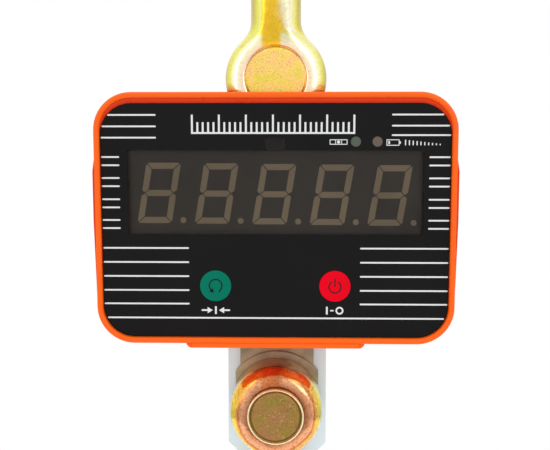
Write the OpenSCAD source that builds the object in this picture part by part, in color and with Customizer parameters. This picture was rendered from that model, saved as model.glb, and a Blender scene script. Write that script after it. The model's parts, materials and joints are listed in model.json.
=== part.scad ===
// Hanging crane scale: a bow shackle carries a plate load cell, the load cell carries
// a swivel hook on a fork, and a two-part case with the display hangs on the load cell.
// Millimetres. +Z is up, the display faces -Y, and the origin is the point where a
// crane hook bears on the inside of the bow.

/* [Suspension] */
// Centre-line radius of the bow of the upper shackle
bow_r = 42; // [40:1:56]
// Diameter of the forged bar of the upper shackle
bow_bar_d = 25.6; // [22:0.2:30]
// Height from the centre of the bow to the upper pin
bow_drop = 76; // [66:1:100]
// Outside diameter of the eyes of the upper shackle
upper_eye_d = 52; // [46:0.2:56]
// Diameter of the upper pin
upper_pin_d = 31.5; // [24:0.5:34]
// Distance between the upper and the lower pin
pin_span = 174.5; // [165:0.5:215]
// Thickness of the load cell
cell_t = 26; // [20:1:32]
// Width of the load cell
cell_w = 54.2; // [50:0.5:56]
// Thickness of the cheek plates beside the load cell
cheek_t = 4; // [3:0.5:6]
// Width of the necks of the cheek plates
cheek_w = 40.4; // [36:0.2:44]
// Width of the pads on the lower ends of the cheek plates
pad_w = 45.4; // [42:0.5:50]
// Height of the pads that face the eyes
pad_t = 2; // [1:0.5:3]
// Free gap between a pad and the eye beside it
jaw_gap = 0.5; // [0.3:0.1:1.5]
// Thickness of each eye along its pin
eye_t = 26; // [20:1:30]

/* [Hook] */
// Outside diameter of the eyes of the lower fork
lower_eye_d = 48.8; // [44:0.5:54]
// Diameter of the lower pin
lower_pin_d = 29.5; // [22:0.5:30]
// Diameter of the legs of the fork
fork_bar_d = 24; // [20:0.5:26]
// Height from the lower pin to the underside of the crown of the fork
fork_drop = 98; // [90:1:120]
// Diameter of the shank of the hook
shank_d = 22; // [18:0.5:24]
// Inner radius of the bowl of the hook
bowl_r = 28; // [24:1:36]
// Thickness of the hook at the bottom of the bowl
hook_t = 32; // [26:1:38]
// Distance from the crown of the fork to the centre of the bowl
bowl_drop = 66; // [62:1:90]

/* [Case] */
// Width of the case
case_w = 181; // [170:1:220]
// Height of the front face, measured along its slope
case_h = 127; // [118:1:150]
// Radius of the corners of the case
case_r = 19; // [12:1:24]
// Forward lean of the front face, in degrees
lean = 2; // [0:0.5:10]
// Distance from the upper pin down to the middle of the front face
case_drop = 71; // [70:0.2:100]
// Thickness of the walls of the case
wall = 3; // [2:0.5:4]
// Width of the rounded rim round the front face
rim_w = 3; // [2.4:0.2:4]
// Depth of the recess that holds the front panel
recess = 2.5; // [2:0.5:4]
// Height of the slope at the top of the recess
visor = 2.4; // [1:0.2:4]

/* [Front panel] */
// Width of the display window
window_w = 148; // [130:1:160]
// Height of the display window
window_h = 43; // [38:0.5:50]
// Height of the middle of the window above the middle of the face
window_v = 13.5; // [8:0.5:20]
// Distance between neighbouring digits
digit_pitch = 29; // [28:0.1:31]
// Height of a digit
digit_h = 30.5; // [25:0.5:32]
// Diameter of the keys
key_d = 15.8; // [12:0.2:20]
// Distance of each key from the centre line
key_u = 30.2; // [20:0.1:36]
// Height of the keys below the middle of the face
key_v = 33.9; // [28:0.5:38]
// Travel of a key
key_travel = 0.6; // [0.3:0.1:1]

/* [Power] */
// Width of the battery
battery_w = 118; // [100:1:124]
// Depth of the battery
battery_t = 34; // [24:1:48]
// Height of the battery
battery_h = 60; // [50:1:66]
// Outside diameter of the thread of the charging socket
socket_d = 12; // [8:1:16]

/* [Hidden] */
$fn = 64;
// running clearance of a pin in its bore, on the radius
run = 0.08;
// free clearance between two fixed pieces
gap = 0.2;
// how far a blend runs into the pieces that it joins
bite = 0.4;

// heights of the main axes
bow_z = -(bow_r - bow_bar_d / 2);
up_z = bow_z - bow_drop;
lo_z = up_z - pin_span;

// stack along the pins, outwards from the load line
cheek_y = cell_t / 2;
pad_y = cheek_y + cheek_t;
pad_face_y = pad_y + pad_t;
jaw_y = pad_face_y + jaw_gap;
eye_y = jaw_y + eye_t / 2;
eye_out_y = jaw_y + eye_t;
eye_edge = 9;
web_r = 5;

// pins
ring_w = 1;
upper_proud = 0.6;
lower_proud = 4;
washer_t = 2.5;
upper_head_af = 44;
upper_head_t = 15;
lower_head_af = 40;
lower_head_t = 14;
lock_d = 5;

// load cell and cheek plates
cell_end = 32;
cell_top_r = 26;
cell_chamfer = 7;
upper_pad_r = 24;
pad_r = 28;
pad_low = 25;
pad_corner = 3;
cheek_free = 1.5;
gauge_r = 13;
gauge_deep = 5;

// case
gasket_t = 1;
pocket_clear = 2.8;
pocket_r = upper_eye_d / 2 + pocket_clear;
pocket_wall = 2.5;
pocket_front = eye_out_y + 4;
face_y = -(pocket_front + pocket_wall + 6);
face_z = up_z - case_drop;
slot_gap = 1.5;
slot_x = cell_w / 2 + slot_gap;
slot_y = pad_face_y + slot_gap;
part_y = -(slot_y + 9.5);
front_rear_y = part_y - gasket_t / 2;
rear_front_y = part_y + gasket_t / 2;
sec_z = face_z + (part_y - face_y) * tan(lean);
sec_h = case_h / cos(lean);
sec_low = sec_z - sec_h / 2;
grip_z = sec_low + 46.3;
tray_wall = 1.5;
tray_y = pad_face_y + 1.5;
battery_y = tray_y + tray_wall;
back_in_y = battery_y + battery_t + 1;
back_y = back_in_y + wall;
back_chamfer = 8;
panel_t = 1;
front_wall = 2.5;
floor_w = -(recess + panel_t);
board_front = floor_w - front_wall - 9;
board_t = 1.6;
panel_w = case_w - 2 * rim_w;
panel_h = case_h - 2 * rim_w - visor;
panel_r = case_r - rim_w;
panel_v = -visor / 2;
belly_w = 91;
belly_drop = 2.4;
bump = 0.9;

// screws that join the two halves of the case
screw_x = case_w / 2 - 13;
screw_dz = sec_h / 2 - 13;
well_r = 4.6;
well_wall = 2;
screw_r = 2;
screw_head_r = 3.8;
screw_head_y = rear_front_y + 6;
screw_len = 22;
boss_r = 5;

// display parts, in the slope of the face
digit_w = 28.6;
digit_body_h = window_h - 4;
digit_face = floor_w - 1.2;
lamp_v = 39;
lamp_u = [40.1, 50.8];
lamp_d = 5;
ir_w = 10;
ir_h = 6;
ir_v = window_v + window_h / 2 + ir_h / 2;
key_proud = 0.3;
key_cap_t = 2;
key_gap = 0.2;
stem_r = 3;
stem_end = floor_w - 4.6;

// battery door
door_t = 3.5;
seal_t = 1.5;
door_w = battery_w + 34;
door_top = up_z - pocket_r - pocket_wall - 6;
door_h = battery_h + 20;
door_y = back_y + seal_t;
door_mid = door_top - door_h / 2;
hatch_w = battery_w + 4;
hatch_h = battery_h + 6;
hinge_r = 2.6;
hinge_pin_r = 1.25;
hinge_y = door_y + hinge_r - 1.1;
hinge_z = door_top + hinge_r;
hinge_x = door_w / 2 - 26;
knuckle = 12;
thumb_x = door_w / 2 - 7;
thumb_z = door_top - door_h + 8;
thumb_r = 6;
thumb_shaft_r = 2.5;
thumb_reach = 5;

// charging socket in the bottom wall
socket_x = -64;
socket_y = 8;
socket_len = 8;

// fork, swivel and hook
fork_top_z = lo_z - fork_drop + 30;
crown_r = 20;
crown_low_z = lo_z - fork_drop;
fork_bend_z = lo_z - fork_drop + eye_y + fork_bar_d / 2 - 1;
race_t = 2;
ball_d = 4;
race_r = 18;
ball_ring_r = 15;
ball_n = 14;
nut_af = 31;
nut_t = 16;
nut_z = fork_top_z + 2 * race_t + ball_d;
shank_top_z = nut_z + nut_t + 2;
collar_gap = 0.4;
collar_h = 9;
bowl_z = crown_low_z - bowl_drop;
tip_t = 17;
bowl_x = 7;
hook_r = bowl_r + hook_t / 2;
neck_r = shank_d / 2 + 3;
arc_from = 128;
arc_to = 372;
lug_x = bowl_x + 9;
lug_z = bowl_z + 43;
lug_t = 8;
lug_r = 6;
latch_pin_r = 2.5;
latch_w = 19;
latch_t = 1.6;
latch_len = 37;
latch_lean = 37;

// ---------- helpers ----------

// A rounded rectangle with true arcs, centred on the origin.
module rounded_rect(w, h, r) {
    square([w - 2 * r, h], center = true);
    square([w, h - 2 * r], center = true);
    for (sx = [-1, 1], sz = [-1, 1])
        translate([sx * (w / 2 - r), sz * (h / 2 - r)])
            circle(r = r);
}

// Turns a drawing in X and Z into a slab that runs from y0 to y1.
module slab(y0, y1) {
    translate([0, y1, 0])
        rotate([90, 0, 0])
            linear_extrude(y1 - y0)
                children();
}

// A cylinder along Y.
module rod_y(r, y0, y1) {
    translate([0, y0, 0])
        rotate([-90, 0, 0])
            cylinder(r = r, h = y1 - y0);
}

// A cylinder along X, centred on its length.
module rod_x(r, len) {
    rotate([0, 90, 0])
        cylinder(r = r, h = len, center = true);
}

// The frame of the sloping face: X across, Y up the slope, Z outwards.
module on_face() {
    translate([0, face_y, face_z])
        rotate([90 + lean, 0, 0])
            children();
}

// A turned eye with rounded outer edges, on the Y axis between y0 and y1.
module barrel(d, y0, y1, edge) {
    rod_y(d / 2 - edge, y0, y1);
    rod_y(d / 2, y0 + edge * 0.3, y1 - edge);
    translate([0, y1 - edge, 0])
        rotate([90, 0, 0])
            rotate_extrude()
                translate([d / 2 - edge, 0])
                    circle(r = edge);
}

// Concave webs between an eye of diameter d and a bar of diameter b that leaves it upwards.
module eye_webs(d, b, thick, fillet) {
    far = d / 2 + fillet - bite;
    side = b / 2 + fillet - bite;
    zc = sqrt(far * far - side * side);
    k = (d / 2 - bite) / far;
    slab(-thick / 2, thick / 2)
        for (s = [-1, 1])
            difference() {
                polygon([
                    [0, 0], [s * b * 0.4, zc], [s * (b / 2 - bite), zc],
                    [s * side * k, zc * k]
                ]);
                translate([s * side, zc])
                    circle(r = fillet);
            }
}

// Flat seats cut into both outer faces of a pair of eyes, round the end and the head of a pin.
module spot_faces(r_front, r_rear) {
    rod_y(r_front, -eye_out_y - 20, -eye_out_y + 0.5);
    rod_y(r_rear, eye_out_y, eye_out_y + 20);
}

// A hexagon bar along Y, with its flats level.
module hex_y(af, y0, y1) {
    translate([0, y0, 0])
        rotate([-90, 30, 0])
            cylinder(d = af / cos(30), h = y1 - y0, $fn = 6);
}

// A pin with a chamfered front end and a hexagon head behind.
module headed_pin(d, y_end, y_head, af, head_t, chamfer) {
    rod_y(d / 2, y_end + chamfer, y_head);
    translate([0, y_end + chamfer, 0])
        rotate([90, 0, 0])
            cylinder(r1 = d / 2, r2 = d / 2 - chamfer, h = chamfer);
    hex_y(af, y_head, y_head + head_t);
}

// ---------- suspension ----------

// Angle below level at which the bow turns into its straight legs.
bow_reach = sqrt(eye_y * eye_y + bow_drop * bow_drop);
bow_turn = 90 - atan(eye_y / bow_drop) - acos(bow_r / bow_reach);
leg_len = sqrt(bow_reach * bow_reach - bow_r * bow_r);

module upper_shackle() {
    color("goldenrod")
        difference() {
            union() {
                translate([0, 0, bow_z])
                    intersection() {
                        rotate([90, 0, 90])
                            rotate_extrude()
                                translate([bow_r, 0])
                                    circle(d = bow_bar_d);
                        translate([0, 0, 100 - bow_r * sin(bow_turn) - 2])
                            cube([200, 200, 200], center = true);
                    }
                for (s = [-1, 1]) {
                    translate([0, s * bow_r * cos(bow_turn), bow_z - bow_r * sin(bow_turn)])
                        rotate([180 - s * bow_turn, 0, 0])
                            cylinder(d = bow_bar_d + bite, h = leg_len);
                    translate([0, s * eye_y, up_z])
                        eye_webs(upper_eye_d, bow_bar_d, bow_bar_d * 0.6, web_r);
                }
                translate([0, 0, up_z]) {
                    barrel(upper_eye_d, jaw_y, eye_out_y, eye_edge);
                    mirror([0, 1, 0])
                        barrel(upper_eye_d, jaw_y, eye_out_y, eye_edge);
                }
            }
            translate([0, 0, up_z])
                rod_y(upper_pin_d / 2 + run, -eye_out_y - 20, eye_out_y + 20);
            translate([0, 0, up_z])
                cube([2 * upper_eye_d, 2 * jaw_y, upper_eye_d + 4], center = true);
            translate([0, eye_y, up_z - upper_eye_d])
                cylinder(d = lock_d + 2 * gap, h = upper_eye_d);
            translate([0, 0, up_z])
                spot_faces(upper_pin_d / 2 + ring_w, upper_head_af / 2 / cos(30) + gap);
        }
}

module upper_pin() {
    color("khaki")
        translate([0, 0, up_z])
            difference() {
                headed_pin(upper_pin_d, -eye_out_y - upper_proud, eye_out_y + washer_t,
                           upper_head_af, upper_head_t, 1.2);
                translate([0, eye_y, -upper_pin_d])
                    cylinder(d = lock_d + 2 * gap, h = upper_pin_d);
            }
}

// A washer on a pin, between the rear eye and the head.
module pin_washer(pin_d, r) {
    difference() {
        rod_y(r, eye_out_y + 0.02, eye_out_y + washer_t - 0.02);
        rod_y(pin_d / 2 + gap, eye_out_y - 1, eye_out_y + washer_t + 1);
    }
}

module upper_washer() {
    color("silver")
        translate([0, 0, up_z])
            pin_washer(upper_pin_d, upper_eye_d / 2 - 2.5);
}

// A slit spring pin that locks a headed pin in the rear eye.
module lock_pin(eye_d) {
    difference() {
        cylinder(d = lock_d, h = eye_d / 2 - 3);
        translate([0, 0, -1])
            cylinder(d = lock_d - 2, h = eye_d / 2);
        translate([0, -0.5, -1])
            cube([lock_d, 1, eye_d / 2]);
    }
}

module upper_lock_pin() {
    color("dimgray")
        translate([0, eye_y, up_z - upper_eye_d / 2 + 1])
            lock_pin(upper_eye_d);
}

module load_cell() {
    color("gainsboro")
        difference() {
            slab(-cell_t / 2, cell_t / 2)
                difference() {
                    union() {
                        translate([0, up_z])
                            circle(r = cell_top_r);
                        translate([-cell_top_r, up_z - 20])
                            square([2 * cell_top_r, 20]);
                        translate([-cell_w / 2, lo_z - cell_end + cell_chamfer])
                            square([cell_w, pin_span - 16 + cell_end - cell_chamfer]);
                        polygon([
                            [-cell_w / 2, lo_z - cell_end + cell_chamfer],
                            [-cell_w / 2 + cell_chamfer, lo_z - cell_end],
                            [cell_w / 2 - cell_chamfer, lo_z - cell_end],
                            [cell_w / 2, lo_z - cell_end + cell_chamfer]
                        ]);
                    }
                    translate([0, up_z])
                        circle(r = upper_pin_d / 2 + run);
                    translate([0, lo_z])
                        circle(r = lower_pin_d / 2 + run);
                }
            for (s = [-1, 1])
                translate([0, 0, grip_z])
                    rod_y(gauge_r, s > 0 ? cell_t / 2 - gauge_deep : -cell_t / 2 - 1,
                          s > 0 ? cell_t / 2 + 1 : -cell_t / 2 + gauge_deep);
            cheek_screw_places()
                rod_y(2.5 + gap, -cell_t, cell_t);
        }
}

module cheek_screw_places() {
    for (sx = [-1, 1], dz = [-24, 24])
        translate([sx * (cheek_w / 2 - 6), 0, grip_z + dz])
            children();
}

// A thin lid over a strain-gauge pocket of the load cell.
module gauge_cover(s) {
    color("darkgray")
        translate([0, 0, grip_z])
            rod_y(gauge_r - gap, s > 0 ? cell_t / 2 - 2 : -cell_t / 2 + 0.1,
                  s > 0 ? cell_t / 2 - 0.1 : -cell_t / 2 + 2);
}

// Outline of the neck of a cheek plate, from pin to pin.
module cheek_outline() {
    translate([-cheek_w / 2, lo_z])
        square([cheek_w, pin_span]);
    translate([0, up_z])
        circle(r = upper_pad_r);
    pad_outline();
}

// Outline of the lower pad: a disc with three flats and small corners.
module pad_outline() {
    intersection() {
        translate([0, lo_z])
            circle(r = pad_r);
        translate([0, lo_z + (pad_r - pad_low) / 2])
            rounded_rect(pad_w, pad_r + pad_low, pad_corner);
    }
}

// The plate beside the load cell that carries the case and fills the jaws.
module cheek_plate() {
    difference() {
        union() {
            slab(cheek_y + 0.02, pad_y)
                cheek_outline();
            slab(pad_y - 0.01, pad_face_y)
                union() {
                    pad_outline();
                    translate([0, up_z])
                        circle(r = upper_pad_r);
                }
        }
        translate([0, 0, up_z])
            rod_y(upper_pin_d / 2 + run, 0, eye_out_y);
        translate([0, 0, lo_z])
            rod_y(lower_pin_d / 2 + cheek_free, 0, eye_out_y);
        cheek_screw_places()
            rod_y(2.5 + gap, 0, eye_out_y);
    }
}

module cheek_plate_rear() {
    color("tan")
        cheek_plate();
}

module cheek_plate_front() {
    color("tan")
        mirror([0, 1, 0])
            cheek_plate();
}

// Screws through both cheek plates and the load cell, with a head in front and a nut behind.
module cheek_screws() {
    color("silver")
        cheek_screw_places() {
            rod_y(2.5, -pad_y, pad_y + 2.6);
            rod_y(4.2, -pad_y - 2.6, -pad_y - 0.02);
            hex_y(8, pad_y + 0.02, pad_y + 3.2);
        }
}

// ---------- case ----------

// Side bumps and the belly of the case, which stand out of the rounded rectangle.
module outline_extras(h, off) {
    for (s = [-1, 1])
        polygon([
            [s * (case_w / 2 - 8), off + h * 0.24], [s * case_w / 2, off + h * 0.24],
            [s * (case_w / 2 + bump), off + h * 0.19], [s * (case_w / 2 + bump), off],
            [s * case_w / 2, off - h * 0.31], [s * (case_w / 2 - 8), off - h * 0.31]
        ]);
    translate([0, -h / 2 - belly_drop + 6])
        rounded_rect(belly_w, 12, 3);
}

// Outline of the case at and behind the seam, drawn in by o, in X and Z.
module case_outline(o) {
    difference() {
        translate([0, sec_z])
            union() {
                rounded_rect(case_w - 2 * o, sec_h - 2 * o, case_r - o);
                if (o <= 0)
                    outline_extras(sec_h, 0);
            }
        translate([0, up_z])
            circle(r = pocket_r + (o > 0 ? pocket_wall : 0));
    }
}

// The half-round pocket over the case in which the eyes of the shackle turn.
module eye_pocket(extra) {
    translate([0, 0, up_z])
        rod_y(pocket_r + extra, -pocket_front - extra, back_y + 20);
}

// A round bead that closes the front edge of a straight or curved rim.
module rim_bead() {
    r = rim_w / 2;
    x = case_w / 2 - case_r;
    v = case_h / 2 - case_r;
    translate([0, 0, -r]) {
        for (s = [-1, 1]) {
            translate([s * (case_w / 2 - r), 0, 0])
                rotate([90, 0, 0])
                    cylinder(r = r, h = 2 * v, center = true);
            translate([0, s * (case_h / 2 - r), 0])
                rod_x(r, 2 * x);
        }
        for (a = [0:3])
            translate([(a == 0 || a == 3 ? 1 : -1) * x, (a < 2 ? 1 : -1) * v, 0])
                rotate([0, 0, a * 90])
                    rotate_extrude(angle = 90)
                        translate([case_r - r, 0])
                            circle(r = r);
        translate([0, -case_h / 2 - belly_drop + r, 0])
            rod_x(r, belly_w - 6);
    }
}

module front_shell() {
    color("orangered")
        difference() {
            union() {
                intersection() {
                    on_face()
                        translate([0, 0, -90])
                            linear_extrude(90 - rim_w / 2)
                                union() {
                                    rounded_rect(case_w, case_h, case_r);
                                    outline_extras(case_h, 0);
                                }
                    front_half();
                }
                on_face()
                    rim_bead();
            }
            on_face()
                face_recess();
            intersection() {
                difference() {
                    on_face()
                        translate([0, 0, -90])
                            linear_extrude(90 + floor_w - front_wall)
                                rounded_rect(case_w - 2 * wall, case_h - 2 * wall, case_r - wall);
                    eye_pocket(pocket_wall);
                    for (p = screw_points())
                        translate(p)
                            rod_y(boss_r, face_y - 20, 0);
                }
                front_half();
            }
            eye_pocket(0);
            on_face()
                face_cutouts();
            for (p = screw_points())
                translate(p)
                    rod_y(screw_r - 0.2 + gap + 0.05, screw_head_y - screw_len - 1, 0);
        }
}

// Everything in front of the seam.
module front_half() {
    translate([-case_w, front_rear_y - 200, face_z - case_h])
        cube([2 * case_w, 200, 2 * case_h]);
}

function screw_points() = [
    for (sx = [-1, 1], sz = [-1, 1]) [sx * screw_x, 0, sec_z + sz * screw_dz]
];

// The recess of the front panel, sloped at the top under the visor.
module face_recess() {
    translate([0, panel_v, -recess - panel_t])
        linear_extrude(recess + panel_t + 5)
            rounded_rect(panel_w, panel_h, panel_r);
    hull() {
        translate([0, panel_v, -recess])
            linear_extrude(0.01)
                rounded_rect(panel_w, panel_h, panel_r);
        linear_extrude(0.5)
            rounded_rect(panel_w, case_h - 2 * rim_w, panel_r);
    }
}

// Openings of the front wall behind the panel.
module face_cutouts() {
    translate([0, window_v, floor_w - front_wall - 1])
        linear_extrude(front_wall + 2)
            square([window_w, window_h], center = true);
    translate([0, ir_v - 1, floor_w - front_wall - 1])
        linear_extrude(front_wall + 2)
            square([ir_w, ir_h + 2], center = true);
    for (s = [-1, 1])
        translate([s * key_u, -key_v, floor_w - front_wall - 1])
            cylinder(r = key_d / 2 + 0.6, h = front_wall + 2);
    for (u = lamp_u)
        translate([u, lamp_v, floor_w - front_wall - 1])
            cylinder(r = lamp_d / 2 + 0.6, h = front_wall + 2);
}

module case_gasket() {
    color("dimgray")
        difference() {
            slab(front_rear_y + 0.01, rear_front_y - 0.01)
                difference() {
                    case_outline(0.4);
                    case_outline(wall - 0.4);
                }
        }
}

module rear_shell() {
    color("orangered")
        difference() {
            union() {
                difference() {
                    rear_body();
                    slab(rear_front_y - 1, back_y - back_chamfer - 1)
                        case_outline(wall);
                    slab(rear_front_y - 1, back_in_y)
                        case_outline(wall + back_chamfer);
                }
                intersection() {
                    union() {
                        for (p = screw_points())
                            translate(p)
                                rod_y(well_r + well_wall, rear_front_y, back_in_y);
                    }
                    rear_body();
                }
                hinge_lugs();
                thumb_bosses();
            }
            eye_pocket(0);
            for (p = screw_points())
                translate(p) {
                    rod_y(well_r, screw_head_y, back_y + 1);
                    rod_y(screw_r + gap, 2 * rear_front_y, back_y);
                }
            translate([-slot_x, -slot_y, sec_low - 10])
                cube([2 * slot_x, 2 * slot_y, 30]);
            translate([-slot_x, -slot_y, up_z - pocket_r - 10])
                cube([2 * slot_x, 2 * slot_y, pocket_r + 20]);
            translate([-hatch_w / 2, back_in_y - 1, door_mid - hatch_h / 2])
                cube([hatch_w, wall + 2, hatch_h]);
            translate([socket_x, socket_y, sec_low - 5])
                cylinder(d = socket_d - 2 + 2 * gap, h = wall + 10);
            for (s = [-1, 1])
                translate([s * thumb_x, 0, thumb_z])
                    rod_y(thumb_shaft_r + 0.7, back_y - thumb_reach - 1, back_y + 1);
        }
}

// The outside of the rear half, with a chamfer round its back.
module rear_body() {
    difference() {
        union() {
            slab(rear_front_y, back_y - back_chamfer)
                case_outline(0);
            hull() {
                slab(back_y - back_chamfer - 0.5, back_y - back_chamfer)
                    translate([0, sec_z])
                        rounded_rect(case_w, sec_h, case_r);
                slab(back_y - 0.5, back_y)
                    translate([0, sec_z])
                        rounded_rect(case_w - 2 * back_chamfer, sec_h - 2 * back_chamfer,
                                     case_r - back_chamfer);
            }
        }
        eye_pocket(0);
    }
}

// Blind bosses behind the back wall for the door screws.
module thumb_bosses() {
    for (s = [-1, 1])
        translate([s * thumb_x, 0, thumb_z])
            rod_y(thumb_shaft_r + 2.5, back_y - thumb_reach - 3, back_y - 0.5);
}

// The lugs of the case either side of each knuckle of the door.
module hinge_lugs() {
    for (s = [-1, 1], e = [-1, 1])
        translate([s * hinge_x + e * (knuckle / 2 + 2.3), 0, hinge_z])
            difference() {
                union() {
                    translate([0, hinge_y, 0])
                        rod_x(hinge_r, 4);
                    translate([-2, back_y - 1, -hinge_r])
                        cube([4, hinge_y - back_y + 1, 2 * hinge_r]);
                }
                translate([0, hinge_y, 0])
                    rod_x(hinge_pin_r, 6);
            }
}

module case_screws() {
    color("silver")
        for (p = screw_points())
            translate(p)
                difference() {
                    union() {
                        rod_y(screw_r, screw_head_y - screw_len, screw_head_y + 1);
                        rod_y(screw_head_r, screw_head_y + 0.02, screw_head_y + 3);
                    }
                    translate([-0.5, screw_head_y + 1.5, -3])
                        cube([1, 3, 6]);
                    translate([-3, screw_head_y + 1.5, -0.5])
                        cube([6, 3, 1]);
                }
}

// Cross section of the load cell with its cheek plates, grown by o, in X and Y.
module cell_section(o) {
    square([cell_w + 2 * o, cell_t + 2 * o], center = true);
    square([cheek_w + 2 * o, 2 * pad_y + 2 * o], center = true);
}

module lower_seal() {
    color("dimgray")
        difference() {
            translate([0, 0, sec_low - belly_drop - 0.8])
                linear_extrude(wall + belly_drop + 1.6)
                    square([2 * slot_x - gap, 2 * slot_y - gap], center = true);
            translate([0, 0, sec_low - 20])
                linear_extrude(40)
                    cell_section(gap);
        }
}

module upper_seal() {
    color("dimgray")
        difference() {
            intersection() {
                translate([0, 0, up_z - pocket_r - 6])
                    linear_extrude(pocket_r)
                        square([2 * slot_x - gap, 2 * slot_y - gap], center = true);
                translate([0, 0, up_z])
                    rod_y(pocket_r + pocket_wall, -slot_y, slot_y);
            }
            translate([0, 0, up_z])
                rod_y(pocket_r - 0.4, -slot_y - 1, slot_y + 1);
            translate([0, 0, up_z - pocket_r - 10])
                linear_extrude(pocket_r + 10)
                    cell_section(gap);
            translate([0, 0, up_z])
                rod_y(upper_pad_r + gap, -pad_face_y - gap, pad_face_y + gap);
        }
}

// A folded strap that ties the load cell to the side of the rear half.
module mount_bracket() {
    x0 = cell_w / 2 + 0.02;
    x1 = case_w / 2 - wall - 0.02;
    zc = grip_z - 4;
    difference() {
        union() {
            translate([x0, -10, zc - 9])
                cube([2, 20, 18]);
            translate([x0, -1, zc - 9])
                cube([x1 - x0, 2, 18]);
            translate([x1 - 2, -10, zc - 9])
                cube([2, 20, 18]);
        }
        for (y = [-6, 6])
            translate([(x0 + x1) / 2, y, zc])
                rod_x(1.8, x1 - x0 + 4);
    }
}

module mount_bracket_right() {
    color("silver")
        mount_bracket();
}

module mount_bracket_left() {
    color("silver")
        mirror([1, 0, 0])
            mount_bracket();
}

// ---------- display ----------

module front_panel() {
    color("black")
        on_face()
            difference() {
                translate([0, panel_v, floor_w])
                    linear_extrude(panel_t)
                        rounded_rect(panel_w - 2 * gap, panel_h - 2 * gap, panel_r - gap);
                translate([0, 0, floor_w - 1])
                    linear_extrude(panel_t + 2)
                        window_outline(0);
                for (s = [-1, 1])
                    translate([s * key_u, -key_v, floor_w - 1])
                        cylinder(r = key_d / 2 + key_gap, h = panel_t + 2);
                for (u = lamp_u)
                    translate([u, lamp_v, floor_w - 1])
                        cylinder(r = lamp_d / 2 + 0.1, h = panel_t + 2);
            }
}

// Outline of the window with the tab for the remote control.
module window_outline(o) {
    translate([0, window_v])
        square([window_w - 2 * o, window_h - 2 * o], center = true);
    translate([0, ir_v - 1])
        square([ir_w - 2 * o, ir_h + 2 - 2 * o], center = true);
}

module display_window() {
    color("dimgray", 0.6)
        on_face()
            translate([0, 0, floor_w])
                linear_extrude(panel_t)
                    window_outline(0.05);
}

// A key: a flat cap in the panel with a stem behind it.
module key() {
    translate([0, 0, -recess + key_proud - key_cap_t])
        cylinder(d = key_d, h = key_cap_t);
    translate([0, 0, stem_end])
        cylinder(r = stem_r, h = -stem_end - recess - 1);
}

module tare_key() {
    color("seagreen")
        on_face()
            translate([-key_u, -key_v, 0])
                key();
}

module power_key() {
    color("crimson")
        on_face()
            translate([key_u, -key_v, 0])
                key();
}

// A round indicator lamp with a flange behind the panel and two legs to the board.
module lamp() {
    translate([0, 0, floor_w - front_wall])
        cylinder(d = lamp_d, h = front_wall + panel_t - 0.1);
    translate([0, 0, floor_w - front_wall - 1])
        cylinder(d = lamp_d + 0.9, h = 1.1);
    for (s = [-1, 1])
        translate([s * 1.27, 0, board_front + 0.02])
            cylinder(r = 0.3, h = floor_w - front_wall - 1 - board_front);
}

module steady_lamp() {
    color("darkseagreen")
        on_face()
            translate([lamp_u[0], lamp_v, 0])
                lamp();
}

module battery_lamp() {
    color("rosybrown")
        on_face()
            translate([lamp_u[1], lamp_v, 0])
                lamp();
}

board_w = case_w - 2 * wall - 12;
board_top = lamp_v + 6;
board_low = -key_v - 7;
notch_x = pocket_r + pocket_wall + 3;
notch_v = window_v + window_h / 2 - 4;

module display_board() {
    color("darkgreen")
        on_face()
            translate([0, 0, board_front - board_t])
                difference() {
                    linear_extrude(board_t)
                        difference() {
                            translate([-board_w / 2, board_low])
                                square([board_w, board_top - board_low]);
                            translate([-notch_x, notch_v])
                                square([2 * notch_x, board_top]);
                        }
                    for (p = board_points())
                        translate([p[0], p[1], -1])
                            cylinder(r = 1.6, h = board_t + 2);
                }
}

function board_points() = [
    for (s = [-1, 1]) [s * (board_w / 2 - 4), board_low + 4],
    for (s = [-1, 1]) [s * (board_w / 2 - 4), notch_v + 4]
];

// Pillars with screws that hold the board to the back of the front wall.
module board_screws() {
    color("silver")
        on_face()
            for (p = board_points())
                translate([p[0], p[1], 0]) {
                    translate([0, 0, board_front - board_t])
                        cylinder(r = 1.4, h = floor_w - front_wall - board_front + board_t - 0.02);
                    translate([0, 0, board_front + 0.02])
                        cylinder(r = 2.8, h = floor_w - front_wall - board_front - 0.04, $fn = 6);
                    translate([0, 0, board_front - board_t - 2])
                        cylinder(r = 2.6, h = 1.98);
                }
}

// One seven-segment digit block; its lit faces lie just behind the window.
module digit(n) {
    color("dimgray")
        on_face()
            translate([(n - 3) * digit_pitch, window_v, board_front + 0.02])
                difference() {
                    linear_extrude(digit_face - board_front - 0.02)
                        square([digit_w, digit_body_h], center = true);
                    translate([0, 0, digit_face - board_front - 0.32])
                        linear_extrude(1)
                            digit_segments();
                }
}

// The seven segments and the point of a digit, slanted by 9.5 degrees.
module digit_segments() {
    t = digit_h * 0.105;
    w = digit_h * 0.49;
    h = digit_h - t;
    slant = tan(9.5);
    for (k = [-1, 0, 1])
        translate([k * h / 2 * slant, k * h / 2])
            bar(w - 1, t, 0);
    for (sx = [-1, 1], k = [-1, 1])
        translate([k * h / 4 * slant + sx * w / 2, k * h / 4])
            bar(h / 2 - 1, t, 90 - 9.5);
    translate([w / 2 - h / 2 * slant + 4.4, -h / 2])
        circle(d = t);
}

// A flat bar with pointed ends, turned by a.
module bar(len, t, a) {
    rotate([0, 0, a])
        polygon([
            [-len / 2, 0], [-len / 2 + t / 2, t / 2], [len / 2 - t / 2, t / 2],
            [len / 2, 0], [len / 2 - t / 2, -t / 2], [-len / 2 + t / 2, -t / 2]
        ]);
}

module ir_receiver() {
    color("black")
        on_face()
            translate([0, ir_v, floor_w - front_wall - 0.5])
                difference() {
                    translate([-3, -3.4, -0.2])
                        cube([6, 6.4, front_wall + 0.3]);
                    translate([-4, -6, -1])
                        cube([8, 3.5, 1.5]);
                }
}

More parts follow.
